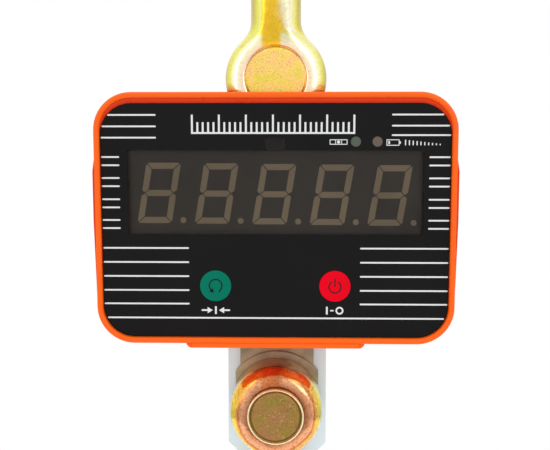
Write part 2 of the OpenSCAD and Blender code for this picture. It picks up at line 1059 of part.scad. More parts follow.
// A tact switch behind a key, with its plunger just clear of the pressed stem.
module tact_switch() {
    top = stem_end - key_travel - 0.1;
    translate([-3, -3, board_front + 0.02])
        cube([6, 6, 3.5]);
    translate([0, 0, board_front + 3])
        cylinder(r = 1.75, h = top - board_front - 3);
}

module tare_switch() {
    color("black")
        on_face()
            translate([-key_u, -key_v, 0])
                tact_switch();
}

module power_switch() {
    color("black")
        on_face()
            translate([key_u, -key_v, 0])
                tact_switch();
}

// ---------- power and electronics ----------

main_x0 = -case_w / 2 + wall + 5;
main_x1 = -cell_w / 2 - 6;
main_z0 = sec_low + wall + 20;
main_z1 = sec_low + wall + 44;

module main_board() {
    color("darkgreen")
        for (k = [-1, 1])
            mirror([k > 0 ? 1 : 0, 0, 0])
                translate([main_x0, rear_front_y + 3, main_z0])
                    cube([main_x1 - main_x0, 1.6, main_z1 - main_z0]);
}

module supply_parts() {
    y0 = rear_front_y + 3 + 1.62;
    for (k = [-1, 1])
        mirror([k > 0 ? 1 : 0, 0, 0]) {
            color("navy")
                for (i = [0:1])
                    translate([main_x0 + 9 + i * 13, y0, main_z0 + 8])
                        rotate([-90, 0, 0])
                            cylinder(r = 5, h = 12);
            color("black")
                translate([main_x1 - 15, y0, main_z0 + 5])
                    cube([10, 2, 14]);
        }
}

tray_play = 0.3;
tray_in_w = battery_w + 2 * tray_play;
tray_in_h = battery_h + 2 * tray_play;

module battery_tray() {
    color("dimgray")
        difference() {
            slab(tray_y, back_in_y - tray_play)
                translate([0, door_mid])
                    square([tray_in_w + 2 * tray_wall, tray_in_h + 2 * tray_wall], center = true);
            slab(battery_y, battery_y + battery_t + 20)
                translate([0, door_mid])
                    square([tray_in_w, tray_in_h], center = true);
            for (s = [-1, 1])
                translate([s * (battery_w / 2 - 16), battery_y + battery_t / 2, door_mid + battery_h / 2])
                    cube([12, 12, 20], center = true);
            for (x = [-cheek_w / 2 + 6, cheek_w / 2 - 6], dz = [-24, 24])
                translate([x, 0, grip_z + dz])
                    rod_y(6, 0, battery_y - 0.1);
        }
}

module battery() {
    color("slategray")
        translate([0, battery_y + battery_t / 2 + 0.2, door_mid])
            rotate([90, 0, 0])
                linear_extrude(battery_t, center = true)
                    rounded_rect(battery_w, battery_h, 2);
}

terminal_z = door_mid + battery_h / 2 + 0.02;

module battery_terminals() {
    color("silver")
        for (s = [-1, 1])
            translate([s * (battery_w / 2 - 16) - 2.4, battery_y + battery_t / 2 - 0.4, terminal_z])
                cube([4.8, 0.8, 4]);
}

module battery_door() {
    color("orangered")
        difference() {
            union() {
                slab(door_y, door_y + door_t)
                    translate([0, door_mid])
                        rounded_rect(door_w, door_h, 6);
                for (s = [-1, 1])
                    translate([s * hinge_x, hinge_y, hinge_z])
                        rod_x(hinge_r, knuckle);
                for (s = [-1, 1])
                    translate([s * hinge_x - knuckle / 2, door_y, hinge_z - 2 * hinge_r])
                        cube([knuckle, door_t, 2 * hinge_r]);
            }
            for (s = [-1, 1])
                translate([s * hinge_x, hinge_y, hinge_z])
                    rod_x(hinge_pin_r + run, knuckle + 2);
            for (s = [-1, 1])
                translate([s * thumb_x, 0, thumb_z])
                    rod_y(thumb_shaft_r + run, door_y - 1, door_y + door_t + 1);
            for (i = [-2:2])
                translate([0, door_y + door_t, door_mid + i * 9])
                    cube([door_w * 0.5, 2, 2], center = true);
        }
}

module door_seal() {
    color("dimgray")
        slab(back_y + 0.02, door_y - 0.05)
            difference() {
                translate([0, door_mid])
                    rounded_rect(hatch_w + 8, hatch_h + 6, 5);
                translate([0, door_mid])
                    rounded_rect(hatch_w + 2, hatch_h + 1, 3);
            }
}

// Hinge pins, fixed in the lugs of the case.
module hinge_pins() {
    color("silver")
        for (s = [-1, 1])
            translate([s * hinge_x, hinge_y, hinge_z])
                rod_x(hinge_pin_r - 0.01, knuckle + 2 * 4.3);
}

// A captive thumb screw with a fluted head and a coin slot.
module door_screw() {
    difference() {
        union() {
            rod_y(thumb_shaft_r, back_y - thumb_reach + 0.5, door_y + door_t + 0.5);
            rod_y(thumb_r, door_y + door_t + 0.1, door_y + door_t + 8);
        }
        for (a = [0:30:330])
            rotate([0, a, 0])
                translate([thumb_r, 0, 0])
                    rod_y(0.7, door_y + door_t - 1, door_y + door_t + 9);
        translate([-thumb_r, door_y + door_t + 6.5, -0.7])
            cube([2 * thumb_r, 3, 1.4]);
    }
}

module door_screw_left() {
    color("silver")
        translate([-thumb_x, 0, thumb_z])
            door_screw();
}

module door_screw_right() {
    color("silver")
        translate([thumb_x, 0, thumb_z])
            door_screw();
}

module charging_socket() {
    color("silver")
        translate([socket_x, socket_y, 0])
            difference() {
                union() {
                    translate([0, 0, sec_low - socket_len])
                        cylinder(d = socket_d, h = socket_len - 1.5);
                    translate([0, 0, sec_low - 2])
                        cylinder(d = socket_d + 4, h = 1.98);
                    translate([0, 0, sec_low - 2])
                        cylinder(d = socket_d - 2, h = wall + 10);
                }
                translate([0, 0, sec_low - socket_len - 1])
                    cylinder(d = socket_d - 3, h = 6);
            }
}

module socket_nut() {
    color("silver")
        translate([socket_x, socket_y, sec_low + wall + 0.02])
            difference() {
                cylinder(d = socket_d + 4, h = 3, $fn = 6);
                translate([0, 0, -1])
                    cylinder(d = socket_d - 2 + 2 * gap, h = 5);
            }
}

// ---------- fork, swivel and hook ----------

module lower_fork() {
    bend_r = eye_y;
    color("goldenrod")
        difference() {
            union() {
                for (s = [-1, 1]) {
                    translate([0, s * eye_y, fork_bend_z])
                        cylinder(d = fork_bar_d, h = lo_z - fork_bend_z);
                    translate([0, s * eye_y, lo_z])
                        mirror([0, 0, 1])
                            eye_webs(lower_eye_d, fork_bar_d, fork_bar_d * 0.6, web_r);
                }
                translate([0, 0, fork_bend_z])
                    intersection() {
                        rotate([90, 0, 90])
                            rotate([0, 0, 180])
                                rotate_extrude(angle = 180)
                                    translate([bend_r, 0])
                                        circle(d = fork_bar_d);
                        translate([0, 0, -200 + 0.01])
                            cube([200, 200, 400], center = true);
                    }
                translate([0, 0, crown_low_z])
                    cylinder(r = crown_r, h = fork_top_z - crown_low_z);
                translate([0, 0, lo_z]) {
                    barrel(lower_eye_d, jaw_y, eye_out_y, eye_edge);
                    mirror([0, 1, 0])
                        barrel(lower_eye_d, jaw_y, eye_out_y, eye_edge);
                }
            }
            translate([0, 0, lo_z])
                rod_y(lower_pin_d / 2 + run, -eye_out_y - 20, eye_out_y + 20);
            translate([0, 0, lo_z])
                cube([2 * lower_eye_d, 2 * jaw_y, lower_eye_d + 2], center = true);
            translate([0, 0, crown_low_z - 10])
                cylinder(r = shank_d / 2 + run, h = fork_drop);
            translate([0, 0, fork_top_z])
                cylinder(r = race_r + 1, h = lo_z - fork_top_z);
            translate([0, eye_y, lo_z])
                cylinder(d = lock_d + 2 * gap, h = lower_eye_d);
            translate([0, 0, lo_z])
                spot_faces(lower_pin_d / 2 + ring_w, lower_head_af / 2 / cos(30) + gap);
        }
}

module lower_pin() {
    color("khaki")
        translate([0, 0, lo_z])
            difference() {
                headed_pin(lower_pin_d, -eye_out_y - lower_proud, eye_out_y + washer_t,
                           lower_head_af, lower_head_t, 2.6);
                translate([0, eye_y, 0])
                    cylinder(d = lock_d + 2 * gap, h = lower_pin_d);
            }
}

module lower_washer() {
    color("silver")
        translate([0, 0, lo_z])
            pin_washer(lower_pin_d, lower_eye_d / 2 - 2);
}

module lower_lock_pin() {
    color("dimgray")
        translate([0, eye_y, lo_z + 2])
            lock_pin(lower_eye_d);
}

// A flat ring on the swivel axis.
module ring(r_in, r_out, z0, z1) {
    translate([0, 0, z0])
        difference() {
            cylinder(r = r_out, h = z1 - z0);
            translate([0, 0, -1])
                cylinder(r = r_in, h = z1 - z0 + 2);
        }
}

module lower_race() {
    color("silver")
        ring(shank_d / 2 + 0.5, race_r, fork_top_z + 0.01, fork_top_z + race_t);
}

module bearing_balls() {
    color("whitesmoke")
        for (i = [0:ball_n - 1])
            rotate([0, 0, i * 360 / ball_n])
                translate([ball_ring_r, 0, fork_top_z + race_t + ball_d / 2])
                    sphere(d = ball_d - 0.04);
}

module upper_race() {
    color("silver")
        ring(shank_d / 2 + 0.05, race_r, nut_z - race_t, nut_z - 0.01);
}

module hook_nut() {
    color("goldenrod")
        translate([0, 0, nut_z])
            difference() {
                cylinder(d = nut_af / cos(30), h = nut_t, $fn = 6);
                translate([0, 0, -1])
                    cylinder(r = shank_d / 2 + 0.05, h = nut_t + 2);
                translate([0, 0, nut_t / 2])
                    rod_x(2.1, nut_af * 2);
            }
}

module nut_pin() {
    color("dimgray")
        translate([0, 0, nut_z + nut_t / 2])
            rod_x(2, nut_af + 3);
}

// Centre line of the hook: a bend out of the shank, then the arc of the bowl, which is
// set to the side so that the empty hook hangs level.
function bowl_point(a) = [bowl_x + hook_r * cos(a), bowl_z + hook_r * sin(a)];
hook_in_t = [for (i = [0:9]) i / 10];
neck_z = crown_low_z - collar_gap;
bend_from = [0, neck_z - collar_h + 1];
bend_to = bowl_point(arc_from);
bend_a = bend_from + [0, -16];
bend_b = bend_to - 15 * [-sin(arc_from), cos(arc_from)];
function bezier(t) =
    pow(1 - t, 3) * bend_from + 3 * pow(1 - t, 2) * t * bend_a
    + 3 * (1 - t) * t * t * bend_b + pow(t, 3) * bend_to;
function bezier_dir(t) =
    let (d = 3 * pow(1 - t, 2) * (bend_a - bend_from) + 6 * (1 - t) * t * (bend_b - bend_a)
             + 3 * t * t * (bend_to - bend_b))
    d / norm(d);
arc_steps = 38;
arc_t = [for (i = [0:arc_steps]) i / arc_steps];
function arc_angle(t) = arc_from + (arc_to - arc_from) * t;
// Half thickness in the plane of the hook, and across it, along the arc.
function arc_half(t) =
    t < 0.55
        ? neck_r + (hook_t / 2 - neck_r) * (1 - cos(180 * t / 0.55)) / 2
        : hook_t / 2 - (hook_t - tip_t) / 2 * (1 - cos(180 * (t - 0.55) / 0.45)) / 2;
function arc_wide(t) = arc_half(t) * (t < 0.55 ? 1 - 0.16 * t / 0.55 : 0.84);
hook_path = concat(
    [for (t = hook_in_t) [bezier(t), bezier_dir(t), neck_r, neck_r]],
    [for (t = arc_t) [
        bowl_point(arc_angle(t)),
        [-sin(arc_angle(t)), cos(arc_angle(t))], arc_half(t), arc_wide(t)
    ]],
    [for (k = [1:5]) [
        bowl_point(arc_to) + tip_t / 2 * sin(k * 18) * [-sin(arc_to), cos(arc_to)],
        [-sin(arc_to), cos(arc_to)],
        arc_half(1) * max(cos(k * 18), 0.05), arc_wide(1) * max(cos(k * 18), 0.05)
    ]]
);
hook_sides = 20;

// The swept body of the hook, as one closed skin.
module hook_body() {
    n = len(hook_path);
    points = [
        for (p = hook_path, j = [0:hook_sides - 1])
            let (a = 360 * j / hook_sides, normal = [p[1][1], -p[1][0]])
            [p[0][0] + p[2] * cos(a) * normal[0], p[3] * sin(a), p[0][1] + p[2] * cos(a) * normal[1]]
    ];
    sides = [
        for (i = [0:n - 2], j = [0:hook_sides - 1])
            let (k = (j + 1) % hook_sides)
            [i * hook_sides + j, (i + 1) * hook_sides + j, (i + 1) * hook_sides + k, i * hook_sides + k]
    ];
    polyhedron(
        points,
        concat(
            [[for (j = [0:hook_sides - 1]) j]],
            sides,
            [[for (j = [hook_sides - 1:-1:0]) (n - 1) * hook_sides + j]]
        )
    );
}

module hook() {
    color("goldenrod")
        difference() {
            union() {
                hook_body();
                translate([0, 0, neck_z - collar_h])
                    cylinder(r = neck_r + 1, h = collar_h);
                translate([0, 0, neck_z - 4])
                    cylinder(r = shank_d / 2, h = shank_top_z - neck_z + 4);
                translate([lug_x, 0, lug_z])
                    rod_y(lug_r, -lug_t / 2, lug_t / 2);
                translate([0, 0.5 - lug_t / 2, lug_z - lug_r / 2])
                    cube([lug_x, lug_t - 1, lug_r * 1.4]);
            }
            translate([lug_x, 0, lug_z])
                rod_y(latch_pin_r + 0.02, -40, 40);
            translate([0, 0, nut_z + nut_t / 2])
                rod_x(2.1, 2 * nut_af);
        }
}

// The latch: two ears on the pivot and a plate that reaches the tip of the hook.
module latch() {
    color("khaki")
        translate([lug_x, 0, lug_z])
            rotate([0, -latch_lean, 0])
                difference() {
                    union() {
                        for (s = [-1, 1])
                            translate([0, s * (latch_w - latch_t) / 2, 0]) {
                                rod_y(lug_r - 0.3, -latch_t / 2, latch_t / 2);
                                translate([-lug_r + 0.3, -latch_t / 2, -latch_len])
                                    cube([2 * lug_r - 3, latch_t, latch_len]);
                            }
                        translate([-lug_r + 0.3 + 2 * lug_r - 3 - latch_t, -latch_w / 2, -latch_len])
                            cube([latch_t, latch_w, latch_len - lug_r - 1]);
                    }
                    rod_y(latch_pin_r + run, -latch_w, latch_w);
                }
}

module latch_pin() {
    color("silver")
        translate([lug_x, 0, lug_z]) {
            rod_y(latch_pin_r, -latch_w / 2 - 1.2, latch_w / 2 + 1.2);
            for (s = [-1, 1])
                translate([0, s * (latch_w / 2 + 1.6), 0])
                    rod_y(latch_pin_r + 1.3, -0.9, 0.9);
        }
}

// Two torsion springs on the pivot, either side of the lug.
module latch_springs() {
    wire = 0.9;
    mean_r = latch_pin_r + 0.8;
    color("silver")
        for (s = [-1, 1], i = [0:2])
            translate([lug_x, s * (lug_t / 2 + 0.6 + wire / 2 + i * (wire + 0.1)), lug_z])
                rotate([90, 0, 0])
                    rotate_extrude()
                        translate([mean_r, 0])
                            circle(d = wire, $fn = 16);
}

// ---------- assembly ----------

upper_shackle();
upper_pin();
upper_washer();
upper_lock_pin();
load_cell();
gauge_cover(-1);  // gauge_cover_front
gauge_cover(1);  // gauge_cover_rear
cheek_plate_front();
cheek_plate_rear();
cheek_screws();
front_shell();
case_gasket();
rear_shell();
case_screws();
upper_seal();
lower_seal();
mount_bracket_left();
mount_bracket_right();
front_panel();
display_window();
tare_key();
power_key();
steady_lamp();
battery_lamp();
display_board();
tare_switch();
power_switch();
digit(1);  // digit_1
digit(2);  // digit_2
digit(3);  // digit_3
digit(4);  // digit_4
digit(5);  // digit_5
ir_receiver();
board_screws();
main_board();
supply_parts();
battery_tray();
battery();
battery_terminals();
battery_door();
door_seal();
hinge_pins();
door_screw_left();
door_screw_right();
charging_socket();
socket_nut();
lower_fork();
lower_pin();
lower_washer();
lower_lock_pin();
lower_race();
bearing_balls();
upper_race();
hook();
hook_nut();
nut_pin();
latch();
latch_pin();
latch_springs();
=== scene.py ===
import json
import math

import bmesh
import bpy
import numpy as np
from bpy.props import FloatProperty, FloatVectorProperty, PointerProperty
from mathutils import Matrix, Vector

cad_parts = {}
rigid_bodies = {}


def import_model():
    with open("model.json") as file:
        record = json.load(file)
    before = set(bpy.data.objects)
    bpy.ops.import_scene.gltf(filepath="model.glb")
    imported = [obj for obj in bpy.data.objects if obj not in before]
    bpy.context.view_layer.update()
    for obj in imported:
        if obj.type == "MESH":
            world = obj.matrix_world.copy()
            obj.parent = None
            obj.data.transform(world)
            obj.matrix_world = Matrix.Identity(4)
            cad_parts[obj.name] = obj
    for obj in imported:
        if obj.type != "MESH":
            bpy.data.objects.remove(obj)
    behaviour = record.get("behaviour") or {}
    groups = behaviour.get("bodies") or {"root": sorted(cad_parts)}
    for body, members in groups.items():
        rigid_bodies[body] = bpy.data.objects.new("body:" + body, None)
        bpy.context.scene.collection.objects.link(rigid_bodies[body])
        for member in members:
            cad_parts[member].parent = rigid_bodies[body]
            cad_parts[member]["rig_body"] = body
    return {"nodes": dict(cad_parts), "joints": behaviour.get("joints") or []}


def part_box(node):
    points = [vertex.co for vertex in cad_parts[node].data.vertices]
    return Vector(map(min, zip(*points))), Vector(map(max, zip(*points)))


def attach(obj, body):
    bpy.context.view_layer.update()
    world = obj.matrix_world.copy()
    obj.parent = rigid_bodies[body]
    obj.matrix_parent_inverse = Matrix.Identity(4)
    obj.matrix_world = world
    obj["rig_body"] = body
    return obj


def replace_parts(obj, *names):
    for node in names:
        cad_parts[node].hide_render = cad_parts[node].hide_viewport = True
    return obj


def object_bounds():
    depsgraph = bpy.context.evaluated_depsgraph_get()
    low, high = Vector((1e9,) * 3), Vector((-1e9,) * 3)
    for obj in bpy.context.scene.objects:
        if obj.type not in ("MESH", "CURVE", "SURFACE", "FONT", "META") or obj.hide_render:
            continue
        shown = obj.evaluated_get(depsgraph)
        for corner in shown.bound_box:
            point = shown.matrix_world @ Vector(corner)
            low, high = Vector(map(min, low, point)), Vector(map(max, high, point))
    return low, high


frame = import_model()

bl_info = {
    "name": "Crane Scale",
    "version": (1, 0, 0),
    "blender": (4, 5, 0),
    "location": "3D Viewport > Sidebar > Crane Scale",
    "description": "Forged parts, printed face, finishes and studio of a hanging crane scale",
    "category": "Add Mesh",
}

MM = 0.001
CAD_LOW, CAD_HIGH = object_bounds()


# ---------------------------------------------------------------- places on the frame

def middle(node):
    """Middle of a CAD node's box."""
    low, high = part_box(node)
    return (low + high) / 2


def joint(name):
    """The record's joint of that name."""
    return next(j for j in frame["joints"] if j["name"] == name)


UPPER_PIN_Z = middle("upper_pin").z
LOWER_PIN_Z = middle("lower_pin").z
EYE_OUT_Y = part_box("upper_washer")[0].y
FORK_TOP_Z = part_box("lower_race")[0].z
FORK_LOW_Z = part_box("lower_fork")[0].z
BOW_TOP_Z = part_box("upper_shackle")[1].z
BOW_HALF_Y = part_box("upper_shackle")[1].y
LATCH_PIN = middle("latch_pin")

# The sloping face: U across, V up the slope, W outwards, from the middle of the panel's skin.
FACE_W = -Vector(joint("tare_key_press")["axis"]).normalized()
FACE_U = Vector((1, 0, 0))
FACE_V = FACE_W.cross(FACE_U)


def spread(node, direction):
    """Lowest and highest reach of a CAD node along a direction."""
    reach = [v.co.dot(direction) for v in frame["nodes"][node].data.vertices]
    return min(reach), max(reach)


PANEL_V = spread("front_panel", FACE_V)
SKIN_W = spread("front_panel", FACE_W)[1]
FACE_O = FACE_V * (sum(PANEL_V) / 2) + FACE_W * SKIN_W
PANEL_W = spread("front_panel", FACE_U)[1] * 2
PANEL_H = PANEL_V[1] - PANEL_V[0]


def face_box(node):
    """((u0, u1), (v0, v1), (w0, w1)) of a CAD node, from the middle of the panel's skin."""
    return tuple(
        (low - FACE_O.dot(d), high - FACE_O.dot(d))
        for d in (FACE_U, FACE_V, FACE_W)
        for low, high in [spread(node, d)]
    )


def face_middle(node):
    """Middle of a CAD node in U and V."""
    (u0, u1), (v0, v1), _ = face_box(node)
    return (u0 + u1) / 2, (v0 + v1) / 2


def on_face(u, v, w=0.0):
    """A point of the sloping face in the frame."""
    return FACE_O + FACE_U * u + FACE_V * v + FACE_W * w


# ---------------------------------------------------------------- sizes and colours

def number(name, description, default, **extra):
    return FloatProperty(name=name, description=description, default=default, **extra)


def size(name, description, mm):
    return number(name, description, mm * MM, min=0.0, unit="LENGTH", precision=5)


def paint(name, description, rgb):
    return FloatVectorProperty(
        name=name, description=description, default=rgb, size=3, min=0.0, max=1.0, subtype="COLOR"
    )


class CraneScaleSizes(bpy.types.PropertyGroup):
    bow_bar: size("Bow bar", "Diameter of the forged bar of the upper shackle", 25.6)
    upper_eye: size("Upper eye", "Outside diameter of the eyes of the upper shackle", 52)
    upper_pin: size("Upper pin", "Diameter of the upper pin", 31.5)
    lower_eye: size("Lower eye", "Outside diameter of the eyes of the lower fork", 48.8)
    lower_pin: size("Lower pin", "Diameter of the lower pin", 29.5)
    fork_bar: size("Fork bar", "Diameter of the legs of the lower fork", 24)
    eye_thick: size("Eye thickness", "Thickness of each eye along its pin", 26)
    eye_edge: size("Eye edge", "Radius of the outer edges of the eyes", 9)
    forge_blend: size("Forging blend", "Radius of the blend between a bar and its eye", 6)
    crown: size("Crown radius", "Radius of the boss at the bottom of the fork", 20)
    shank: size("Shank", "Diameter of the shank of the hook", 22)
    hook_bowl: size("Hook bowl", "Inner radius of the bowl of the hook", 28)
    hook_thick: size("Hook thickness", "Thickness of the hook at the bottom of its bowl", 32)
    hook_tip: size("Hook tip", "Thickness of the hook at its tip", 17)
    bowl_side: size("Bowl offset", "How far the bowl is set to the side of the shank", 7)
    skin_voxel: size("Forging grid", "Grid of the forged skins", 1.25)
    print_high: size("Print height", "Height of the printed ink above the film", 0.06)
    stripe: size("Stripe", "Width of the printed stripes", 0.82)
    digit_high: size("Digit height", "Height of a digit", 30.5)
    digit_wide: size("Digit width", "Width of a digit", 17.4)
    segment: size("Segment", "Width of a segment", 3.1)
    segment_gap: size("Segment gap", "Gap between neighbouring segments", 0.42)
    digit_step: size("Digit step", "How much lower each digit sits than the one before it", 0.28)


class CraneScaleColours(bpy.types.PropertyGroup):
    coat: paint("Coat", "Powder coat of the case", (0.92, 0.115, 0.002))
    # The zinc tones below are laid by the zinc finishes partly as painted reflections and highlights (by facing
    # and in rings round the pins), partly as the plate's own tint; cream is the painted highlight band and the
    # pale flecks on the pin ends.
    zinc_gold: paint("Zinc gold", "Main tone of the yellow zinc", (0.95, 0.56, 0.035))
    zinc_green: paint("Zinc green", "Green tone of the yellow zinc", (0.80, 0.76, 0.12))
    zinc_cream: paint("Zinc cream", "Pale tone of the yellow zinc", (0.98, 0.90, 0.60))
    zinc_rose: paint("Zinc rose", "Rose tone of the yellow zinc", (0.78, 0.24, 0.08))
    zinc_tan: paint("Zinc tan", "Dark tone of the yellow zinc", (0.52, 0.40, 0.13))
    nickel: paint("Nickel", "Satin nickel plate", (0.74, 0.86, 0.92))
    bronze: paint("Brown zinc", "Dull plate of the cheek plates", (0.47, 0.44, 0.29))
    steel: paint("Steel", "Plain bright steel", (0.62, 0.63, 0.65))
    film: paint("Film", "Black film of the front panel", (0.0085, 0.0078, 0.0078))
    ink: paint("Ink", "White print on the film", (0.68, 0.70, 0.70))
    segments: paint("Segments", "Unlit segments of the digits", (0.46, 0.35, 0.225))
    digit_face: paint("Digit face", "Grey face of the digits", (0.095, 0.083, 0.07))
    window: paint("Window", "Smoked plastic of the display window", (0.012, 0.010, 0.008))
    green_key: paint("Green key", "Cap of the tare key", (0.0, 0.16, 0.10))
    red_key: paint("Red key", "Cap of the power key", (0.72, 0.0, 0.011))
    key_ink: paint("Key ink", "Dark print on the keys", (0.012, 0.014, 0.014))


# ---------------------------------------------------------------- finishes

FINISHES = {}


class Nodes:
    """A node tree under construction."""

    def __init__(self, tree):
        self.tree = tree
        tree.nodes.clear()

    def add(self, kind, **values):
        node = self.tree.nodes.new(kind)
        for name, value in values.items():
            setattr(node, name, value)
        return node

    def link(self, out, socket):
        self.tree.links.new(out, socket)

    def give(self, node, values):
        """Links or sets a node's inputs from outputs, numbers and colours."""
        for key, value in values.items():
            socket = node.inputs[key]
            if hasattr(value, "is_output"):
                self.link(value, socket)
            elif isinstance(value, (int, float)):
                socket.default_value = value
            else:
                socket.default_value = (*value[:3], 1)

    def math(self, kind, *values, clamp=False):
        node = self.add("ShaderNodeMath", operation=kind, use_clamp=clamp)
        self.give(node, dict(enumerate(values)))
        return node.outputs[0]

    def tint(self, kind, factor, a, b):
        node = self.add("ShaderNodeMix", data_type="RGBA", blend_type=kind)
        self.give(node, {0: factor, 6: a, 7: b})
        return node.outputs[2]

    def split(self, vector):
        """X, Y and Z of a vector."""
        node = self.add("ShaderNodeSeparateXYZ")
        self.link(vector, node.inputs[0])
        return tuple(node.outputs)

    def ramp(self, factor, stops):
        ramp = self.add("ShaderNodeValToRGB")
        while len(ramp.color_ramp.elements) < len(stops):
            ramp.color_ramp.elements.new(0.5)
        for element, (at, colour) in zip(ramp.color_ramp.elements, stops):
            element.position = at
            grey = isinstance(colour, (int, float))
            element.color = (colour, colour, colour, 1) if grey else (*colour[:3], 1)
        self.link(factor, ramp.inputs["Fac"])
        return ramp.outputs["Color"]


class Mix(Nodes):
    """A material under construction, with the usual nodes to hand."""

    def __init__(self, name):
        self.material = bpy.data.materials.new(name)
        self.material.use_nodes = True
        super().__init__(self.material.node_tree)
        self.shader = self.add("ShaderNodeBsdfPrincipled")
        self.link(self.shader.outputs[0], self.add("ShaderNodeOutputMaterial").inputs["Surface"])
        coordinates = self.add("ShaderNodeTexCoord").outputs
        self.place, self.facing = coordinates["Object"], coordinates["Normal"]
        FINISHES[name] = self.material

    def set(self, **values):
        self.give(self.shader, {name.replace("_", " "): value for name, value in values.items()})

    def noise(self, per_metre, detail=3.0, rough=0.55, stretch=(1, 1, 1), distort=0.0, shift=(0, 0, 0)):
        place = self.add("ShaderNodeMapping")
        place.inputs["Scale"].default_value = stretch
        place.inputs["Location"].default_value = shift
        self.link(self.place, place.inputs["Vector"])
        noise = self.add("ShaderNodeTexNoise")
        values = {"Scale": per_metre, "Detail": detail, "Roughness": rough, "Distortion": distort}
        self.give(noise, {"Vector": place.outputs[0], **values})
        return noise.outputs["Fac"]

    def relief(self, *layers):
        """Bump from (height, depth in metres) layers."""
        last = None
        for height, depth in layers:
            bump = self.add("ShaderNodeBump")
            bump.inputs["Strength"].default_value = 1.0
            bump.inputs["Distance"].default_value = depth
            self.link(height, bump.inputs["Height"])
            if last:
                self.link(last, bump.inputs["Normal"])
            last = bump.outputs[0]
        self.link(last, self.shader.inputs["Normal"])

    def feed(self, socket, out):
        self.link(out, self.shader.inputs[socket])


def shade(colour, by):
    return tuple(max(0.0, min(1.0, c * by)) for c in colour)


def yellow_zinc_painted_reflections(c, name, pin_z, reach, gloss, blush, bar, eye):
    """Yellow zinc with painted reflections: the tone follows the way the surface faces (painted highlight and
    reflection bands along the bars) and rings round the pin (painted highlight and reflection on the eye), over
    random rose clouds of the plate.
    """
    m = Mix(name)
    facing_x = m.split(m.facing)[0]
    x, _, z = m.split(m.place)
    swirl = m.noise(26, 4, 0.6, (1.0, 1.0, 0.45), 0.6)
    drift = m.math("MULTIPLY", m.math("SUBTRACT", swirl, 0.5), 0.3 + blush)
    # Painted reflection: the bar's tone is picked from a ramp by the way the surface faces, standing in for
    # highlight and reflection bands.
    along = m.ramp(m.math("ADD", m.math("MULTIPLY", facing_x, 0.5), m.math("ADD", drift, 0.5)), bar)
    # Painted highlight and reflection: rings of tone round the pin stand in for the light on the rounded eye.
    high = m.math("SUBTRACT", z, pin_z)
    far = m.math("SQRT", m.math("ADD", m.math("POWER", x, 2.0), m.math("MULTIPLY", high, high)))
    turn = m.math("ADD", m.math("DIVIDE", far, reach), m.math("MULTIPLY", drift, 0.45))
    # The painted rings end at the rim of the eye, and keep clear of the rib of the leg above the pin.
    rib = m.math("ABSOLUTE", m.math("ADD", x, 0.0023))
    clear = m.math("MAXIMUM", m.math("MULTIPLY", rib, 110.0), m.math("MULTIPLY", high, -200.0))
    clear = m.ramp(clear, [(0.42, 0.0), (0.62, 1.0)])
    near = m.math("MULTIPLY", clear, m.ramp(turn, [(0.86, 1.0), (0.98, 0.0)]))
    tone = m.tint("MIX", near, along, m.ramp(turn, eye))
    cloud = m.noise(48, 5, 0.62, (1, 1, 0.7), 1.2, (3, 1, 7))
    rose = m.ramp(cloud, [(0.6 - blush * 0.2, 0.0), (0.78 - blush * 0.2, 0.3 + blush)])
    tone = m.tint("MIX", rose, tone, c.zinc_rose)
    speck = m.ramp(m.noise(900, 2, 0.6), [(0.30, 0.66 - blush * 0.4), (0.52, 1.0)])
    m.feed("Base Color", m.tint("MULTIPLY", 0.3 + blush, tone, speck))
    m.feed("Roughness", m.ramp(m.noise(70, 4), [(0.3, gloss), (0.7, gloss * 1.7)]))
    m.set(Metallic=0.92)
    m.relief((m.noise(120, 2, 0.5), 0.0003), (m.noise(1100, 3, 0.6), 0.00003))


def pin_zinc(c, name, low, mid, high):
    """Turned pin ends: broad soft tones under a fine speckle."""
    m = Mix(name)
    tone = m.ramp(m.noise(120, 6, 0.75, distort=0.6, shift=(2, 5, 1)), [(0.34, low), (0.50, mid), (0.68, high)])
    speck = m.ramp(m.noise(1300, 2, 0.7), [(0.32, 0.55), (0.5, 1.0)])
    tone = m.tint("MULTIPLY", 0.8, tone, speck)
    fleck = m.ramp(m.noise(620, 3, 0.6, shift=(4, 4, 2)), [(0.62, 0.0), (0.74, 0.3)])
    m.feed("Base Color", m.tint("MIX", fleck, tone, c.zinc_cream))
    m.feed("Roughness", m.ramp(m.noise(90, 3), [(0.3, 0.34), (0.7, 0.48)]))
    m.set(Metallic=0.9)
    m.relief((m.noise(900, 3, 0.6), 0.00008))


def plated(name, colour, dark, scale, rough, metal=1.0, grain=(1, 1, 1), depth=0.00003):
    """A plated or ground metal with blotches and a fine grain."""
    m = Mix(name)
    m.feed("Base Color", m.ramp(m.noise(scale, 5, 0.6), [(0.3, shade(colour, dark)), (0.7, colour)]))
    m.feed("Roughness", m.ramp(m.noise(scale * 2, 3), [(0.3, rough[0]), (0.7, rough[1])]))
    m.set(Metallic=metal)
    m.relief((m.noise(900, 2, 0.5, grain), depth))


CASE_COAT = ((0.26, 0.34), 0.93, 0.000035, 620, 0.2)


def moulded(name, colour, rough, dark=0.9, peel=0.00003, scale=700, shine=0.35):
    """A coated, painted or moulded surface with a little orange peel."""
    m = Mix(name)
    m.feed("Base Color", m.ramp(m.noise(35, 3), [(0.3, shade(colour, dark)), (0.7, colour)]))
    m.feed("Roughness", m.ramp(m.noise(60, 3), [(0.3, rough[0]), (0.7, rough[1])]))
    m.set(Metallic=0.0, Specular_IOR_Level=shine)
    m.relief((m.noise(scale, 2, 0.5), peel))
    return m


